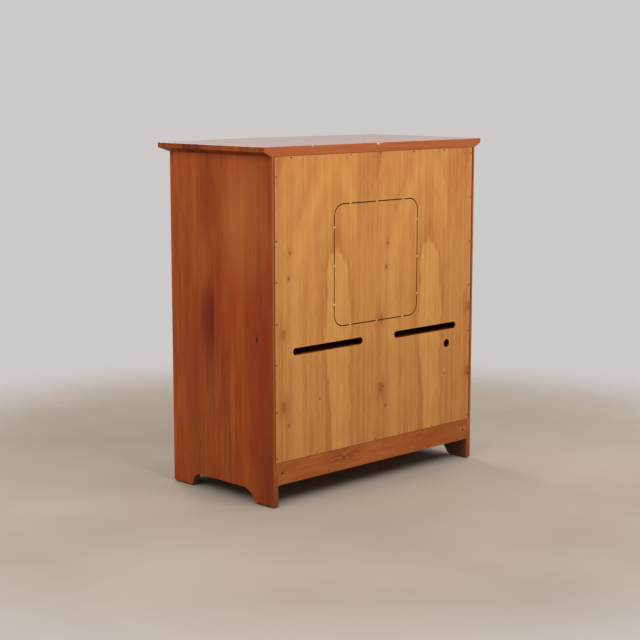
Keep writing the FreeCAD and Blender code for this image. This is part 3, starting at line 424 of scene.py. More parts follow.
class Finish:
    """The nodes of one material. Its coordinates belong to the piece, so its grain moves with it."""

    def __init__(self, name):
        self.material = bpy.data.materials.new(name)
        self.material.use_nodes = True
        self.tree = self.material.node_tree
        self.shader = self.tree.nodes["Principled BSDF"]

    def node(self, kind, sources=None, **settings):
        """A new node with its settings, each of its sources fed to the socket that has its name or number."""
        made = self.tree.nodes.new("ShaderNode" + kind)
        for name, setting in settings.items():
            setattr(made, name, setting)
        for socket, source in (sources or {}).items():
            self.feed(made.inputs[socket], source)
        return made

    def feed(self, socket, source):
        """Link a socket to a source, or set it where the source is a plain value."""
        if isinstance(source, bpy.types.NodeSocket):
            self.tree.links.new(source, socket)
        else:
            socket.default_value = source

    def maths(self, operation, first, second=0.0):
        return self.node("Math", {0: first, 1: second}, operation=operation).outputs[0]

    def product(self, *factors):
        result = factors[0]
        for factor in factors[1:]:
            result = self.maths("MULTIPLY", result, factor)
        return result

    def total(self, *terms):
        result = terms[0]
        for term in terms[1:]:
            result = self.maths("ADD", result, term)
        return result

    def less(self, first, second):
        return self.maths("SUBTRACT", first, second)

    def vector(self, operation, *sources):
        return self.node("VectorMath", dict(enumerate(sources)), operation=operation)

    def length(self, x, y):
        return self.vector("LENGTH", self.join(x, y, 0)).outputs["Value"]

    def point(self):
        return self.node("TexCoord").outputs["Object"]

    def normal(self):
        """The direction that the surface faces, as its parts along X, Y and Z."""
        return self.split(self.node("NewGeometry").outputs["Normal"])

    def split(self, vector):
        return self.node("SeparateXYZ", {0: vector}).outputs[:3]

    def join(self, x, y, z):
        return self.node("CombineXYZ", {0: x, 1: y, 2: z}).outputs[0]

    def spread(self, source, low, high, to_low=0.0, to_high=1.0):
        """The range from low to high laid evenly over another range, and held at its ends."""
        return self.node("MapRange", {0: source, 1: low, 2: high, 3: to_low, 4: to_high}).outputs[0]

    def step(self, source, low, high):
        """A soft step from 0 at low to 1 at high."""
        sources = {0: source, 1: low, 2: high}
        return self.node("MapRange", sources, interpolation_type="SMOOTHSTEP").outputs[0]

    def between(self, share, first, second):
        """A number that goes from the first to the second with a share."""
        return self.node("Mix", {0: share, 2: first, 3: second}).outputs[0]

    def mix(self, share, first, second):
        """A colour that goes from the first to the second with a share."""
        return self.node("Mix", {0: share, 6: first, 7: second}, data_type="RGBA").outputs[2]

    def lay(self, colour, shade, *shares):
        """A colour with a shade laid over it, as strongly as the product of the shares."""
        return self.mix(self.product(*shares), colour, tint(shade))

    def brighten(self, colour, factor):
        return self.node("VectorMath", {0: colour, "Scale": factor}, operation="SCALE").outputs[0]

    def noise(self, place, stretch, seed=0, detail=2, roughness=0.5):
        """Noise from 0 to 1, with stretch patches to the metre along each axis."""
        offset = tuple(seed * part for part in SEED_OFFSET)
        scaled = self.vector("MULTIPLY_ADD", place, stretch, offset).outputs[0]
        sources = {"Vector": scaled, "Scale": 1, "Detail": detail, "Roughness": roughness}
        return self.spread(self.node("TexNoise", sources).outputs[0], *NOISE_SPAN)

    def ramp(self, source, stops, interpolation="LINEAR"):
        """Tones along a source; each stop is a share of it and a tone."""
        made = self.node("ValToRGB", {0: source})
        made.color_ramp.interpolation = interpolation
        elements = made.color_ramp.elements
        elements.remove(elements[1])
        elements[0].position = stops[0][0]
        elements[0].color = grey(stops[0][1])
        for share, tone in stops[1:]:
            elements.new(share).color = grey(tone)
        return made.outputs[0]

    def round_edges(self):
        """Normals that turn round the sharp edges, and a mask of the edges themselves."""
        rounded = self.node("Bevel", {"Radius": EDGE_ROUNDING}, samples=4).outputs[0]
        flat = self.node("NewGeometry").outputs["Normal"]
        facing = self.vector("DOT_PRODUCT", rounded, flat).outputs["Value"]
        return rounded, self.step(facing, *EDGE_TURN)

    def close(self, colour, roughness, height, normal, reflection=SATIN_REFLECTION, relief=RELIEF):
        """Join the colour, gloss and relief to the shader."""
        self.feed(self.shader.inputs["Base Color"], colour)
        self.feed(self.shader.inputs["Roughness"], roughness)
        sources = {"Strength": BUMP_STRENGTH, "Distance": relief, "Height": height, "Normal": normal}
        self.feed(self.shader.inputs["Normal"], self.node("Bump", sources).outputs[0])
        self.feed(self.shader.inputs["Specular IOR Level"], reflection)
        return self.material


def grey(tone):
    """The linear grey of a tone from 0 to 1."""
    return (tone, tone, tone, 1)


def tint(colour):
    """The linear colour that a display shows as these red, green and blue values."""
    parts = []
    for part in colour:
        share = part / 255
        parts.append(share / 12.92 if share < 0.04 else ((share + 0.055) / 1.055) ** 2.4)
    return (*parts, 1)


def grain_place(finish, order):
    """Object coordinates in the order across the board, through it and along its grain."""
    parts = finish.split(finish.point())
    return finish.join(*[parts["xyz".index(axis)] for axis in order])


def annual_rings(finish, place, middle, board, seed):
    """Rings of a log whose heart runs beside the board, wandering along its length."""
    across, through, along = finish.split(place)
    number = finish.total(board, seed)
    chance = finish.node("TexWhiteNoise", {"W": number}, noise_dimensions="1D").outputs["Color"]
    first, second, _ = finish.split(chance)
    wander = finish.noise(place, RING_WANDER, seed, detail=1)
    ripple = finish.noise(place, RING_RIPPLE, seed + 1)
    aside = finish.total(
        finish.less(across, middle[0]),
        finish.spread(first, 0, 1, -HEART_SHIFT, HEART_SHIFT),
        finish.spread(wander, 0, 1, -HEART_SHIFT, HEART_SHIFT),
    )
    below = finish.total(
        finish.less(through, middle[1]),
        finish.spread(second, 0, 1, HEART_DEPTH / 3, HEART_DEPTH),
    )
    radius = finish.total(
        finish.length(aside, below),
        finish.product(along, TREE_TAPER),
        finish.product(ripple, RING_WIDTH / 2),
    )
    turn = finish.maths("FRACT", finish.maths("DIVIDE", radius, RING_WIDTH))
    return finish.maths("POWER", turn, RING_SHARPNESS)


def stained_figure(finish, place, board, seed, stain):
    """The stain's pale, deep and red shades, in bands, streaks and patches that differ between boards."""
    board_place = finish.vector("ADD", place, board).outputs[0]
    broad = finish.noise(board_place, BROAD_BANDS, seed + 2, detail=3)
    streaks = finish.noise(board_place, STREAKS, seed + 3, detail=3, roughness=0.6)
    figure = finish.spread(finish.between(STREAK_SHARE, broad, streaks), *FIGURE_SPAN)
    colour = finish.mix(figure, tint(stain["deep"]), tint(stain["pale"]))
    reds = finish.noise(board_place, RED_PATCHES, seed + 7, detail=4, roughness=0.6)
    return finish.lay(colour, stain["red"], finish.step(reds, *RED_SPAN), RED_STRENGTH)


def gum_flecks(finish, place, seed):
    """Short dark streaks of gum that lie here and there along the grain."""
    cell_place = finish.vector("MULTIPLY_ADD", place, GUM_CELLS, (seed, seed, seed)).outputs[0]
    cells = finish.node("TexVoronoi", {"Vector": cell_place, "Scale": 1})
    near = finish.step(cells.outputs["Distance"], *GUM_EDGE)
    chosen = finish.step(finish.split(cells.outputs["Color"])[0], *GUM_RARITY)
    return finish.product(near, chosen)


def end_grain_tone(finish, order):
    """End grain drinks more stain, so it is darker than the board's faces."""
    along = finish.maths("ABSOLUTE", finish.normal()["xyz".index(order[2])])
    return finish.spread(along, *FACING, 1, END_GRAIN_TONE)


def wood(name, order, corners, seed, stain, boards=ONE_BOARD, marks=None, polished=False):
    """Solid wood with its rings, streaks, fibres, flecks and worn edges, under a lacquer."""
    finish = Finish(name)
    place = grain_place(finish, order)
    low, high = [[corner["xyz".index(axis)] for axis in order] for corner in corners]
    middle = [(start + end) / 2 for start, end in zip(low, high)]
    board = finish.ramp(finish.spread(finish.split(place)[0], low[0], high[0]), boards, "CONSTANT")
    rings = annual_rings(finish, place, middle, board, seed)
    fibres = finish.noise(place, FIBRES, seed + 4, roughness=0.6)
    brightness = finish.product(
        finish.spread(board, 0, 1, *BOARD_TONES),
        finish.spread(fibres, 0, 1, *FIBRE_TONES),
        end_grain_tone(finish, order),
    )
    colour = finish.brighten(stained_figure(finish, place, board, seed, stain), brightness)
    colour = finish.lay(colour, stain["line"], rings, RING_STRENGTH)
    colour = finish.lay(colour, stain["line"], gum_flecks(finish, place, seed), GUM_STRENGTH)
    if marks:
        colour = marks(finish, colour)
    return complete_wood(finish, place, colour, rings, fibres, stain, seed, polished)


def polish(finish):
    """A rubbed and polished upper face; returns how strongly each face reflects."""
    upward = finish.step(finish.normal()[2], *POLISH_FACING)
    finish.feed(finish.shader.inputs["Coat Weight"], upward)
    finish.feed(finish.shader.inputs["Coat Roughness"], POLISH_ROUGHNESS)
    return finish.between(upward, SATIN_REFLECTION, RUBBED_REFLECTION)


def complete_wood(finish, place, colour, rings, fibres, stain, seed, polished):
    """Rubbed edges, and the gloss and relief of lacquered wood."""
    normal, edges = finish.round_edges()
    patches = finish.noise(place, RUBBED_PATCHES, seed + 5, detail=4, roughness=0.7)
    rubbed = finish.step(patches, *RUBBED_SPAN)
    colour = finish.lay(colour, stain["worn"], edges, rubbed, WORN_STRENGTH)
    smears = finish.noise(place, SMEARS, seed + 6, detail=3)
    roughness = finish.total(
        finish.spread(smears, 0, 1, *WOOD_ROUGHNESS),
        finish.product(fibres, FIBRE_ROUGHNESS),
    )
    height = finish.less(finish.product(fibres, FIBRE_RELIEF), finish.product(rings, RING_RELIEF))
    reflection = polish(finish) if polished else SATIN_REFLECTION
    return finish.close(colour, roughness, height, normal, reflection)


def spot(finish, x, y, middle, half_width, half_height, core=0.3):
    """A soft spot about a middle point on two coordinates, 1 in its core and 0 outside."""
    aside = finish.maths("DIVIDE", finish.less(x, middle[0]), half_width)
    above = finish.maths("DIVIDE", finish.less(y, middle[1]), half_height)
    return finish.step(finish.length(aside, above), 1, core)


def rear_edge(finish, colour, strength, stretch):
    """The paler edge that faces the rear, left with little stain and streaked along its grain."""
    rearward = finish.step(finish.normal()[1], *FACING)
    streaks = finish.noise(finish.point(), stretch, 4, detail=3, roughness=0.6)
    rim = finish.brighten(tint(RIM)[:3], finish.spread(streaks, 0, 1, *RIM_TONES))
    return finish.mix(finish.product(rearward, strength), colour, rim), rearward


def feet_painted_shade(finish, colour, outward):
    """Painted shade on the feet: edges that darken towards the floor, and darker inner faces; outward is
    their sign on X.
    """
    facing = finish.product(finish.normal()[0], outward)
    low_down = finish.step(finish.split(finish.point())[2], FOOT_SHADE_HEIGHT, 0)
    darkened = finish.product(finish.step(facing, *FOOT_EDGE_FACING), low_down)
    colour = finish.brighten(colour, finish.between(darkened, 1, FOOT_EDGE_SHADE_TONE))
    return finish.lay(colour, FOOT_PAINTED_SHADE, finish.step(facing, *FOOT_INNER_FACING), low_down, FOOT_INNER_SHADE_STRENGTH)


def right_side_marks(finish, colour):
    """The right side's broad bands, painted shade towards the floor, a painted band of light beneath the top,
    a dark flame beside a board's joint, and a small knot.
    """
    _, y, z = finish.split(finish.point())
    low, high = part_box("side_right")
    depth = high.y - low.y
    tone = finish.spread(finish.ramp(finish.spread(y, low.y, high.y), SIDE_TONES), 0, 1, *SIDE_TONE_SPAN)
    # Painted shade, darker towards the floor, and a painted band of light just beneath the top
    painted_shade_below = finish.spread(z, low.z, (low.z + high.z) / 2, 1 - SIDE_PAINTED_SHADE_BELOW, 1)
    painted_light_band = finish.spread(z, high.z - PAINTED_LIGHT_BAND_HEIGHT, high.z, 1, PAINTED_LIGHT_BAND_TONE)
    colour = finish.brighten(colour, finish.product(tone, painted_shade_below, painted_light_band))
    joint = low.y + SIDE_BOARDS[1][0] * depth
    middle = (joint + FLAME_SHIFT, FLAME_LEVEL)
    flame = spot(finish, y, z, middle, FLAME_HALF_WIDTH, FLAME_HALF_HEIGHT, core=0)
    colour = finish.lay(colour, FLAME, flame, finish.maths("LESS_THAN", y, joint), FLAME_STRENGTH)
    # Paler, darker and redder places, among them painted light high up and painted shade low at the rear
    for places, shade in ((SIDE_PALE_PLACES_AND_LIGHT, "worn"), (SIDE_DARK_PLACES_AND_SHADE, "line"), (SIDE_REDS, "red")):
        for share, level, half_width, half_height, strength in places:
            patch = spot(finish, y, z, (low.y + share * depth, level), half_width, half_height, core=0)
            colour = finish.lay(colour, STAINED[shade], patch, strength)
    middle = (high.y - SIDE_KNOT_INSET, SIDE_KNOT_LEVEL)
    knot = spot(finish, y, z, middle, SIDE_KNOT_HALF_WIDTH, SIDE_KNOT_HALF_HEIGHT)
    colour = finish.lay(colour, PAINTED_JOINT_SHADE_AND_KNOT, knot, KNOT_STRENGTH)
    colour, _ = rear_edge(finish, colour, RIGHT_RIM_STRENGTH, UPRIGHT_STREAKS)
    return feet_painted_shade(finish, colour, 1)


def left_side_marks(finish, colour):
    """The left side's paler rear edge, and painted shade on its feet."""
    colour, _ = rear_edge(finish, colour, LEFT_RIM_STRENGTH, UPRIGHT_STREAKS)
    return feet_painted_shade(finish, colour, -1)


def top_marks(finish, colour):
    """Ends that differ from board to board, painted shade on the upper face and under the end mouldings, and
    a paler rear edge, scuffed near its middle.
    """
    x, y, z = finish.split(finish.point())
    low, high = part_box("top")
    outward, _, upward = finish.normal()
    tone = finish.spread(finish.ramp(finish.spread(y, low.y, high.y), END_TONES), 0, 1, *END_TONE_SPAN)
    ends = finish.step(finish.maths("ABSOLUTE", outward), *TOP_END_FACING)
    # Painted shade under the end mouldings and on the upper face
    shaded_moulding = finish.product(ends, finish.step(upward, *MOULDING_FACING))
    brightness = finish.product(
        finish.between(ends, 1, tone),
        finish.between(shaded_moulding, 1, MOULDING_PAINTED_SHADE),
        finish.spread(upward, *FACING, 1, UPPER_FACE_PAINTED_SHADE),
    )
    colour = finish.brighten(colour, brightness)
    colour, rearward = rear_edge(finish, colour, TOP_RIM_STRENGTH, LEVEL_STREAKS)
    scuffs = finish.step(finish.noise(finish.point(), SCUFF_GRAIN, 6, detail=3, roughness=0.7), *SCUFF_SPAN)
    for middle, half_width in RIM_SCUFFS:
        mark = spot(finish, x, z, (middle, high.z), half_width, SCUFF_HALF_HEIGHT, core=0.5)
        colour = finish.lay(colour, SCUFF, mark, rearward, scuffs)
    return colour


def apron_marks(finish, colour):
    """Broad patches and a swirl in the rear apron's grain, and painted shade in the joint along its top edge.
    """
    x, _, z = finish.split(finish.point())
    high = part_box("rear_apron")[1]
    slant = finish.join(finish.total(x, finish.product(z, APRON_SLANT)), 0, z)
    patches = finish.noise(slant, APRON_PATCHES, 2, detail=3, roughness=0.6)
    brightness = finish.product(
        finish.spread(patches, 0, 1, *APRON_PATCH_TONES),
        finish.spread(finish.maths("ABSOLUTE", x), *APRON_END_SPAN, 1, APRON_END_TONE),
    )
    colour = finish.brighten(colour, brightness)
    swirl = spot(finish, x, z, SWIRL_MIDDLE, SWIRL_HALF_WIDTH, SWIRL_HALF_HEIGHT, core=0.1)
    curls = finish.noise(finish.point(), SWIRL_CURLS, 3, detail=4, roughness=0.65)
    colour = finish.lay(colour, APRON["line"], swirl, finish.step(curls, *SWIRL_SPAN), SWIRL_STRENGTH)
    # Painted shade in the joint along the top edge
    joint_shade = finish.step(z, high.z - JOINT_SHADE_WIDTH, high.z)
    return finish.lay(colour, PAINTED_JOINT_SHADE_AND_KNOT, joint_shade, APRON_JOINT_SHADE_STRENGTH)


def veneer_leaf(finish):
    """The place on a leaf of veneer: across it, how much deeper in the log it was cut, and up it."""
    x, _, z = finish.split(finish.point())
    turn = finish.maths("DIVIDE", finish.less(LEAF_START, x), LEAF_WIDTH)
    across = finish.product(finish.maths("FRACT", turn), LEAF_WIDTH)
    depth = finish.product(finish.maths("FLOOR", turn), LEAF_SHIFT)
    return across, depth, z


def veneer_arches(finish, across, leaf, height):
    """Growth rings that stand in tall arches: their tones and their fine lines."""
    wobble = finish.noise(leaf, ARCH_WOBBLES, 1)
    level = finish.split(leaf)[2]
    aside = finish.total(
        finish.less(across, ARCH_MIDDLE),
        finish.product(finish.less(level, ARCH_LEVEL), ARCH_LEAN),
        finish.spread(wobble, 0, 1, -ARCH_WOBBLE, ARCH_WOBBLE),
    )
    left = finish.product(finish.maths("MINIMUM", aside, 0), ARCH_LEFT_SPREAD)
    right = finish.product(finish.maths("MAXIMUM", aside, 0), ARCH_RIGHT_SPREAD)
    reach = finish.length(finish.total(left, right), ARCH_DEPTH)
    rise = finish.spread(finish.ramp(height, ARCH_RISES, "CARDINAL"), 0, 1, ARCH_LOW, ARCH_HIGH)
    ripple = finish.noise(leaf, ARCH_RIPPLES, 2, detail=3)
    ring = finish.total(finish.less(reach, rise), finish.spread(ripple, 0, 1, -ARCH_RIPPLE, ARCH_RIPPLE))
    tones = finish.ramp(finish.spread(ring, 0, ARCH_REACH), ARCH_TONES)
    turn = finish.maths("FRACT", finish.maths("DIVIDE", ring, ARCH_LINE_PITCH))
    return tones, finish.maths("POWER", turn, ARCH_LINE_SHARPNESS)


def veneer_knots(finish, across, z):
    """Knots and pitch marks, the redder wood round them, and how far the grain swerves there."""
    marks = 0.0
    halos = 0.0
    swerve = 0.0
    ragged = finish.noise(finish.point(), KNOT_EDGE_GRAIN, 9, detail=3, roughness=0.7)
    ragged = finish.spread(ragged, 0, 1, *KNOT_EDGE_TONES)
    for leaf_place, level, size, (core, paleness) in KNOTS:
        middle = (leaf_place, level)
        mark = spot(finish, across, z, middle, size, size * KNOT_HEIGHT_SHARE, core)
        eye = spot(finish, across, z, middle, size * EYE_WIDTH_SHARE, size * EYE_HEIGHT_SHARE, EYE_CORE)
        mark = finish.product(mark, ragged, finish.between(eye, 1, 1 - paleness))
        marks = finish.maths("MAXIMUM", marks, mark)
        halo = spot(finish, across, z, middle, size * HALO_WIDTH_SHARE, size * HALO_HEIGHT_SHARE, core=0)
        halos = finish.maths("MAXIMUM", halos, halo)
        swerve = finish.maths("MAXIMUM", swerve, finish.product(halo, size / 2))
    return marks, halos, swerve


def torn_bridges(finish, x, z):
    """Pale torn fibres at the bridges that hold the knock-out."""
    aside = finish.maths("ABSOLUTE", finish.less(x, KNOCKOUT_MIDDLE[0]))
    above = finish.maths("ABSOLUTE", finish.less(z, KNOCKOUT_MIDDLE[1]))
    torn = 0.0
    for shift in (0, BRIDGE_PITCH):
        for middle in ((KNOCKOUT_REACH, shift), (shift, KNOCKOUT_REACH)):
            mark = spot(finish, aside, above, middle, BRIDGE_MARK, BRIDGE_MARK)
            torn = finish.maths("MAXIMUM", torn, mark)
    return torn


def veneer_figure(finish, leaf, z, low, tones, lines, mottle, pores):
    """The veneer's colour: arches, streaks and fine lines, with painted shade that deepens it towards the
    floor.
    """
    streaks = finish.noise(leaf, VENEER_STREAKS, 4)
    stripes = finish.noise(leaf, VENEER_STRIPES, 5, detail=3, roughness=0.6)
    figure = finish.between(VENEER_STREAK_SHARE, tones, streaks)
    figure = finish.between(VENEER_STRIPE_SHARE, figure, stripes)
    figure = finish.spread(finish.between(VENEER_MOTTLE_SHARE, figure, mottle), *VENEER_FIGURE_SPAN)
    # Painted shade, deeper towards the floor
    painted_shade_below = finish.spread(z, low.z, VENEER_SHADE_TOP_LEVEL, VENEER_PAINTED_SHADE_BELOW, 0)
    colour = finish.mix(finish.less(figure, painted_shade_below), tint(VENEER["deep"]), tint(VENEER["pale"]))
    colour = finish.lay(colour, VENEER["line"], lines, mottle, VENEER_LINE_STRENGTH)
    brightness = finish.product(
        finish.spread(z, low.z, VENEER_SHADE_TOP_LEVEL, 1 - VENEER_PAINTED_SHADE_BELOW / 2, 1),
        finish.spread(pores, 0, 1, *VENEER_PORE_TONES),
    )
    return finish.brighten(colour, brightness)


def sawn_plies_and_shade(finish, colour, low, high):
    """Pale and dark plies by turns on the edges that a saw has cut, both darkened as painted shade inside the
    cuts.
    """
    facing = finish.maths("ABSOLUTE", finish.normal()[1])
    inward = finish.less(finish.split(finish.point())[1], low.y)
    ply = finish.maths("DIVIDE", inward, (high.y - low.y) / PLY_PAIRS)
    dark_ply = finish.step(finish.maths("FRACT", ply), *PLY_SPAN)
    shaded_edge_colour = finish.mix(dark_ply, tint(SHADED_SAWN_EDGE["pale"]), tint(SHADED_SAWN_EDGE["deep"]))
    return finish.mix(finish.step(facing, *SAWN_FACING), colour, shaded_edge_colour)


def back_veneer():
    """Honey-coloured plywood: slip-matched leaves outside, painted shade towards the floor and in its top and
    bottom joints, and plies on its sawn edges darkened as painted shade in the cuts.
    """
    finish = Finish("back_plywood_finish")
    low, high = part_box("back_panel")
    across, depth, z = veneer_leaf(finish)
    marks, halos, swerve = veneer_knots(finish, across, z)
    across = finish.total(across, swerve)
    leaf = finish.join(across, depth, z)
    tones, lines = veneer_arches(finish, across, leaf, finish.spread(z, low.z, high.z))
    pores = finish.noise(leaf, VENEER_PORES, 6, roughness=0.6)
    mottle = finish.noise(leaf, VENEER_MOTTLE, 7, detail=3, roughness=0.6)
    colour = veneer_figure(finish, leaf, z, low, tones, lines, mottle, pores)
    colour = finish.lay(colour, KNOT_HALO, halos, HALO_STRENGTH)
    colour = finish.lay(colour, KNOT, marks, KNOT_STRENGTH)
    x = finish.split(finish.point())[0]
    colour = finish.lay(colour, TORN, torn_bridges(finish, x, z), TORN_STRENGTH)
    colour = sawn_plies_and_shade(finish, colour, low, high)
    # Painted shade in the joints at the top and bottom
    bottom_joint_shade = finish.step(z, low.z + JOINT_SHADE_WIDTH, low.z)
    top_joint_shade = finish.step(z, high.z - JOINT_SHADE_WIDTH, high.z)
    colour = finish.lay(colour, PAINTED_JOINT_SHADE_AND_KNOT, finish.total(bottom_joint_shade, top_joint_shade), VENEER_JOINT_SHADE_STRENGTH)
    smears = finish.noise(leaf, VENEER_SMEARS, 8, detail=3)
    roughness = finish.spread(smears, 0, 1, *VENEER_ROUGHNESS)
    height = finish.less(finish.product(pores, PORE_RELIEF), finish.product(lines, VENEER_LINE_RELIEF))
    return finish.close(colour, roughness, height, finish.round_edges()[0])


def metal(name, colours):
    """Plain metal with tarnish in patches and fine drawn scratches."""
    finish = Finish(name)
    patches = finish.noise(finish.point(), TARNISH_PATCHES, 1, detail=4, roughness=0.65)
    scratches = finish.noise(finish.point(), DRAWN_SCRATCHES, 2)
    tarnished = finish.step(patches, *TARNISH_SPAN)
    colour = finish.lay(tint(colours["plain"]), colours["tarnished"], tarnished)
    least = colours["roughness"]
    roughness = finish.total(
        finish.spread(patches, 0, 1, least, least + TARNISH_ROUGHNESS),
        finish.product(scratches, SCRATCH_ROUGHNESS),
    )
    finish.shader.inputs["Metallic"].default_value = 1
    return finish.close(colour, roughness, scratches, finish.round_edges()[0], METAL_REFLECTION, RELIEF / 4)


def plastic(name, colours):
    """Moulded plastic with a fine matt grain and paler scuffs."""
    finish = Finish(name)
    grain = finish.noise(finish.point(), MOULDED_GRAIN, 1)
    scuffs = finish.noise(finish.point(), PLASTIC_SCUFFS, 2, detail=4, roughness=0.7)
    scuffed = finish.step(scuffs, *PLASTIC_SCUFF_SPAN)
    colour = finish.lay(tint(colours["plain"]), colours["scuffed"], scuffed, PLASTIC_SCUFF_STRENGTH)
    roughness = finish.spread(scuffs, 0, 1, *PLASTIC_ROUGHNESS)
    return finish.close(colour, roughness, grain, finish.round_edges()[0], PLASTIC_REFLECTION, RELIEF / 2)


def wear(node, material):
    """Give a CAD node its finish."""
    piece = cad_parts[node]
    piece.data.materials.clear()
    piece.data.materials.append(material)


def finish_boards():
    """Give each board its own cut of wood. The letters are the axes across, through and along it."""
    stained = {
        "top": "yzx", "side_right": "yxz", "side_left": "yxz", "drawer_deck": "yzx", "tv_shelf": "yzx",
        "shelf_cleat_right": "zxy", "shelf_cleat_left": "zxy", "rear_top_rail": "zyx",
        "frame_stile_right": "xyz", "frame_stile_left": "xyz", "frame_top_rail": "zyx",
        "frame_middle_rail": "zyx", "drawer_mullion": "xyz", "front_apron": "zyx",
    }
    inner = {
        "bottom_board": "yzx", "corner_blocks": "xyz", "drawer_partition": "zxy",
        "outer_drawer_guides": "zxy", "centre_drawer_guides": "zxy",
    }
    for hand in ("right", "left"):
        door = "door_" + hand
        drawer = "drawer_" + hand
        stained.update({
            door + "_stile_outer": "xyz", door + "_stile_inner": "xyz", door + "_rail_top": "zyx",
            door + "_rail_bottom": "zyx", door + "_panel": "xyz", door + "_knob": "xzy",
            drawer + "_front": "zyx", drawer + "_knob": "xzy",
        })
        inner.update({
            drawer + "_side_inner": "zxy", drawer + "_side_outer": "zxy", drawer + "_back": "zyx",
            drawer + "_bottom": "yzx",
        })
    glued = {"top": TOP_BOARDS}
    glued.update({node: SIDE_BOARDS for node in ("side_right", "side_left")})
    glued.update({node: SHELF_BOARDS for node in ("tv_shelf", "drawer_deck", "bottom_board")})
    marked = {"side_right": right_side_marks, "side_left": left_side_marks, "top": top_marks}
    for stain, orders in ((STAINED, stained), (INNER, inner)):
        for seed, (node, order) in enumerate(sorted(orders.items()), start=1):
            boards = glued.get(node, ONE_BOARD)
            marks = marked.get(node)
            polished = node == "top"
            wear(node, wood(node + "_finish", order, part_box(node), seed, stain, boards, marks, polished))
    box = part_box("rear_apron")
    wear("rear_apron", wood("rear_apron_finish", "zyx", box, APRON_SEED, APRON, marks=apron_marks))
    wear("back_panel", back_veneer())


def finish_fittings(brass, steel, catch_plastic):
    """Give the hinges, catch plates, catches and shanks of nails and screws their finishes."""
    for hand in ("right", "left"):
        door = "door_" + hand
        for node in ("_hinge_door_leaves", "_hinge_frame_leaves", "_hinge_pins"):
            wear(door + node, brass)
        wear(door + "_catch_plate", steel)
    for node in ("panel_nails", "apron_screws", "top_screws"):
        wear(node, steel)
    wear("door_catches", catch_plastic)


def turned_form(profile, sides=TURNED_SIDES):
    """A mesh turned about Z from a profile of radii and heights."""
    form = bmesh.new()
    rings = []
    for radius, height in profile:
        if radius == 0:
            rings.append([form.verts.new((0, 0, height))])
            continue
        angles = [2 * math.pi * side / sides for side in range(sides)]
        rings.append([form.verts.new((radius * math.cos(a), radius * math.sin(a), height)) for a in angles])
    for lower, upper in zip(rings, rings[1:]):
        for side in range(sides):
            following = (side + 1) % sides
            corners = [lower[side % len(lower)], lower[following % len(lower)],
                       upper[following % len(upper)], upper[side % len(upper)]]
            form.faces.new(list(dict.fromkeys(corners)))
    bmesh.ops.recalc_face_normals(form, faces=form.faces)
    for face in form.faces:
        face.smooth = True
    mesh = bpy.data.meshes.new("turned_form")
    form.to_mesh(mesh)
    form.free()
    return mesh


def dome_profile(radius, dome):
    """A low round head that reaches as far into what it sits on as its dome stands out."""
    angles = [step / DOME_STEPS * math.pi / 2 for step in range(1, DOME_STEPS)]
    crown = [(radius * math.cos(angle), dome * math.sin(angle)) for angle in angles]
    return [(0, -dome), (radius * HEAD_FOOT_SHARE, -dome), (radius, 0)] + crown + [(0, dome)]


def slotted_head(radius, dome):
    """A screw head with a straight slot across it."""
    head = bpy.data.objects.new("slotted_head", turned_form(dome_profile(radius, dome)))
    form = bmesh.new()
    bmesh.ops.create_cube(form, size=1)
    slot = Vector((radius * SLOT_LENGTH_SHARE, radius * SLOT_WIDTH_SHARE, dome * SLOT_HEIGHT_SHARE))
    bmesh.ops.scale(form, vec=slot, verts=form.verts)
    bmesh.ops.translate(form, vec=(0, 0, dome), verts=form.verts)
    cutter_mesh = bpy.data.meshes.new("slot_cutter")
    form.to_mesh(cutter_mesh)
    form.free()
    cutter = bpy.data.objects.new("slot_cutter", cutter_mesh)
    for piece in (head, cutter):
        bpy.context.scene.collection.objects.link(piece)
    trim = head.modifiers.new("slot", "BOOLEAN")
    trim.object = cutter
    trim.operation = "DIFFERENCE"
    made = bpy.data.meshes.new_from_object(head.evaluated_get(bpy.context.evaluated_depsgraph_get()))
    bpy.data.objects.remove(head)
    bpy.data.objects.remove(cutter)
    return made


def copies(name, template, poses, material, body):
    """One piece made of copies of a small form, each set at its own place."""
    form = bmesh.new()
    for pose in poses:
        start = len(form.verts)
        form.from_mesh(template)
        form.verts.ensure_lookup_table()
        bmesh.ops.transform(form, matrix=pose, verts=form.verts[start:])
    mesh = bpy.data.meshes.new(name)
    form.to_mesh(mesh)
    form.free()
    mesh.materials.append(material)
    piece = bpy.data.objects.new(name, mesh)
    bpy.context.scene.collection.objects.link(piece)
    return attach(piece, body)


def facing_pose(place, direction, turn=0.0):
    """A pose at a place whose Z points in a direction, turned about it by an angle."""
    along = Vector(direction).to_track_quat("Z", "Y").to_matrix().to_4x4()
    return Matrix.Translation(place) @ along @ Matrix.Rotation(turn, 4, "Z")


def mesh_points(node):
    """Copies of the corners of a node's mesh."""
    return [vertex.co.copy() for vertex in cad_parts[node].data.vertices]


def middles(points, reach):
    """The middle of each cluster of points that lie within reach of the cluster's first point."""
    clusters = []
    for point in points:
        home = [cluster for cluster in clusters if (cluster[0] - point).length < reach]
        if home:
            home[0].append(point)
        else:
            clusters.append([point])
    found = []
    for cluster in clusters:
        corners = [[pick(point[axis] for point in cluster) for axis in range(3)] for pick in (min, max)]
        found.append((Vector(corners[0]) + Vector(corners[1])) / 2)
    return found


def head_places(node, direction):
    """The middles of the heads of a node's nails or screws, which face in a direction."""
    axis, end = OUTER_ENDS[direction]
    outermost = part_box(node)[end][axis]
    points = [point for point in mesh_points(node) if abs(point[axis] - outermost) < HEAD_FLATNESS]
    return middles(points, HEAD_REACH)


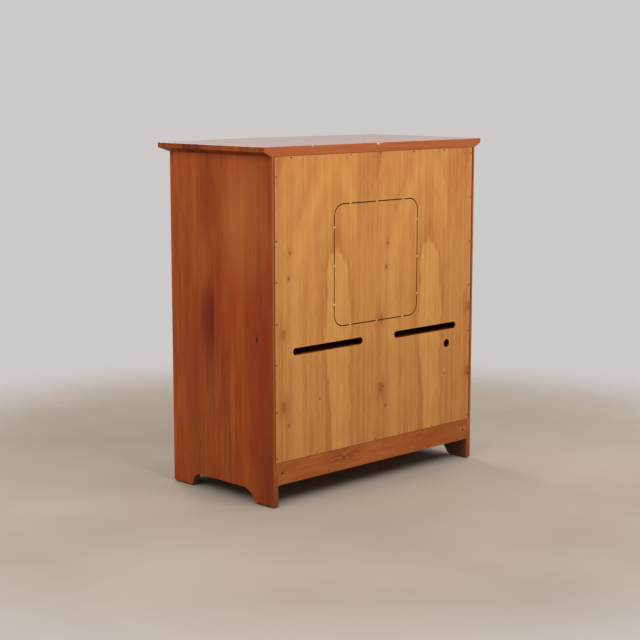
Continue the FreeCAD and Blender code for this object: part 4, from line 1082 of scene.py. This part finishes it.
def make_nail_and_screw_heads(steel, nail_steel_and_hole_shade):
    """Domed heads on the nails of the back, and slotted heads on the cabinet's screws."""
    nail = turned_form(dome_profile(NAIL_HEAD_RADIUS, NAIL_HEAD_DOME))
    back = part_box("back_panel")[1].y
    places = [Vector((place.x, back, place.z)) for place in head_places("panel_nails", BACKWARD)]
    poses = [facing_pose(place, BACKWARD) for place in places]
    # The nail heads' dark finish is partly painted shade of their set holes
    copies("panel_nail_heads", nail, poses, nail_steel_and_hole_shade, "cabinet")
    screw = slotted_head(SCREW_HEAD_RADIUS, SCREW_HEAD_DOME)
    for name, node, direction, first_turn, next_turn in SCREW_ROWS:
        poses = []
        for number, place in enumerate(head_places(node, direction)):
            poses.append(facing_pose(place, direction, first_turn + next_turn * number))
        copies(name, screw, poses, steel, "cabinet")


def make_hinge_screws(brass):
    """Slotted brass screws, three in each hinge leaf."""
    screw = slotted_head(HINGE_SCREW_RADIUS, HINGE_SCREW_DOME)
    for hand, sign in (("right", 1), ("left", -1)):
        door = "door_" + hand
        frame_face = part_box("frame_stile_" + hand)[0 if sign > 0 else 1].x
        door_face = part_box(door + "_stile_outer")[1 if sign > 0 else 0].x
        owners = (("frame", frame_face, -sign, "cabinet"), ("door", door_face, sign, door))
        for owner, face, outward, body in owners:
            node = door + "_hinge_" + owner + "_leaves"
            levels = [point.z for point in mesh_points(node)]
            low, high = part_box(node)
            half = (low.z + high.z) / 2
            depth = low.y + HINGE_SCREW_DEPTH_SHARE * (high.y - low.y)
            poses = []
            for leaf in ([z for z in levels if z < half], [z for z in levels if z > half]):
                bottom = min(leaf)
                height = max(leaf) - bottom
                for number, share in enumerate(HINGE_SCREW_LEVEL_SHARES):
                    place = Vector((face, depth, bottom + share * height))
                    poses.append(facing_pose(place, (outward, 0, 0), HINGE_SCREW_TURN * number + sign))
            copies(door + "_hinge_" + owner + "_screws", screw, poses, brass, body)


def make_glides(material):
    """Nail-on glides with a rounded foot, in place of their plain discs."""
    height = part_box("foot_glides")[1].z
    points = mesh_points("foot_glides")
    places = middles([point for point in points if point.z < height / 2], height * GLIDE_REACH_SHARE)
    radius = max(point.x for point in points) - max(place.x for place in places)
    profile = [(radius * across, height * level) for across, level in GLIDE_SHARES]
    poses = [Matrix.Translation(place) for place in places]
    glides = copies("moulded_foot_glides", turned_form(profile), poses, material, "cabinet")
    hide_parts("foot_glides")


def make_floor():
    """A plain pale floor whose rim fades into the background."""
    form = bmesh.new()
    bmesh.ops.create_circle(form, cap_ends=True, segments=FLOOR_SIDES, radius=FLOOR_RADIUS)
    mesh = bpy.data.meshes.new("floor")
    form.to_mesh(mesh)
    form.free()
    floor = bpy.data.objects.new("floor", mesh)
    bpy.context.scene.collection.objects.link(floor)
    finish = Finish("floor_finish")
    point = finish.point()
    x, y, _ = finish.split(point)
    clouds = finish.noise(point, FLOOR_CLOUDS, 1, detail=4)
    colour = finish.mix(clouds, tint(FLOOR["deep"]), tint(FLOOR["pale"]))
    finish.close(colour, FLOOR_ROUGHNESS, clouds, finish.node("NewGeometry").outputs["Normal"])
    fade = finish.step(finish.length(x, y), FLOOR_FADE_START, FLOOR_FADE_END)
    clear = finish.node("BsdfTransparent").outputs[0]
    mixed = finish.node("MixShader", {0: fade, 1: finish.shader.outputs[0], 2: clear}).outputs[0]
    finish.feed(finish.tree.nodes["Material Output"].inputs["Surface"], mixed)
    mesh.materials.append(finish.material)


def make_background():
    """An even pale room: the wall's colour to the camera, dimmer in reflections, and soft light elsewhere."""
    world = bpy.data.worlds.new("room")
    bpy.context.scene.world = world
    world.use_nodes = True
    tree = world.node_tree
    ambient = tree.nodes["Background"]
    ambient.inputs["Color"].default_value = (1, 1, 1, 1)
    ambient.inputs["Strength"].default_value = AMBIENT_STRENGTH
    path = tree.nodes.new("ShaderNodeLightPath")
    seen = ambient
    for ray, colour in (("Is Glossy Ray", REFLECTED_ROOM), ("Is Camera Ray", WALL)):
        wall = tree.nodes.new("ShaderNodeBackground")
        wall.inputs["Color"].default_value = tint(colour)
        mixed = tree.nodes.new("ShaderNodeMixShader")
        tree.links.new(path.outputs[ray], mixed.inputs[0])
        tree.links.new(seen.outputs[0], mixed.inputs[1])
        tree.links.new(wall.outputs[0], mixed.inputs[2])
        seen = mixed
    tree.links.new(seen.outputs[0], tree.nodes["World Output"].inputs["Surface"])


def make_lights():
    """Large soft boxes round the cabinet, each giving its share of an even exposure."""
    middle = (cad_box[0] + cad_box[1]) / 2
    for name, azimuth, height, distance, share in SOFT_BOXES:
        angle = math.radians(azimuth)
        place = Vector((distance * math.sin(angle), -distance * math.cos(angle), height))
        lamp = bpy.data.lights.new(name, "AREA")
        lamp.size = SOFT_BOX_SIZE
        lamp.energy = share * (math.pi * (place - middle).length) ** 2
        light = bpy.data.objects.new(name, lamp)
        light.matrix_world = facing_pose(place, place - middle)
        bpy.context.scene.collection.objects.link(light)


def make_camera():
    """The camera at the photograph's viewing angle."""
    lens = bpy.data.cameras.new("camera")
    lens.sensor_width = SENSOR_WIDTH
    lens.lens = CAMERA_LENS
    camera = bpy.data.objects.new("camera", lens)
    pitch = math.radians(CAMERA_PITCH)
    aim = CAMERA_AIM.normalized() * math.cos(pitch) - Vector((0, 0, math.sin(pitch)))
    camera.matrix_world = Matrix.Translation(CAMERA_PLACE) @ aim.to_track_quat("-Z", "Y").to_matrix().to_4x4()
    bpy.context.scene.collection.objects.link(camera)
    bpy.context.scene.camera = camera


make_camera()
make_background()
make_lights()
make_floor()
brass = metal("hinge_brass_finish", BRASS)
steel = metal("fastener_steel_finish", STEEL)
nail_steel_and_hole_shade = metal("nail_steel_finish", NAIL_STEEL_AND_HOLE_SHADE)
finish_boards()
finish_fittings(brass, steel, plastic("catch_plastic_finish", CATCH_PLASTIC))
make_nail_and_screw_heads(steel, nail_steel_and_hole_shade)
make_hinge_screws(brass)
make_glides(plastic("glide_plastic_finish", GLIDE_PLASTIC))

bpy.context.scene.view_settings.view_transform = "Standard"
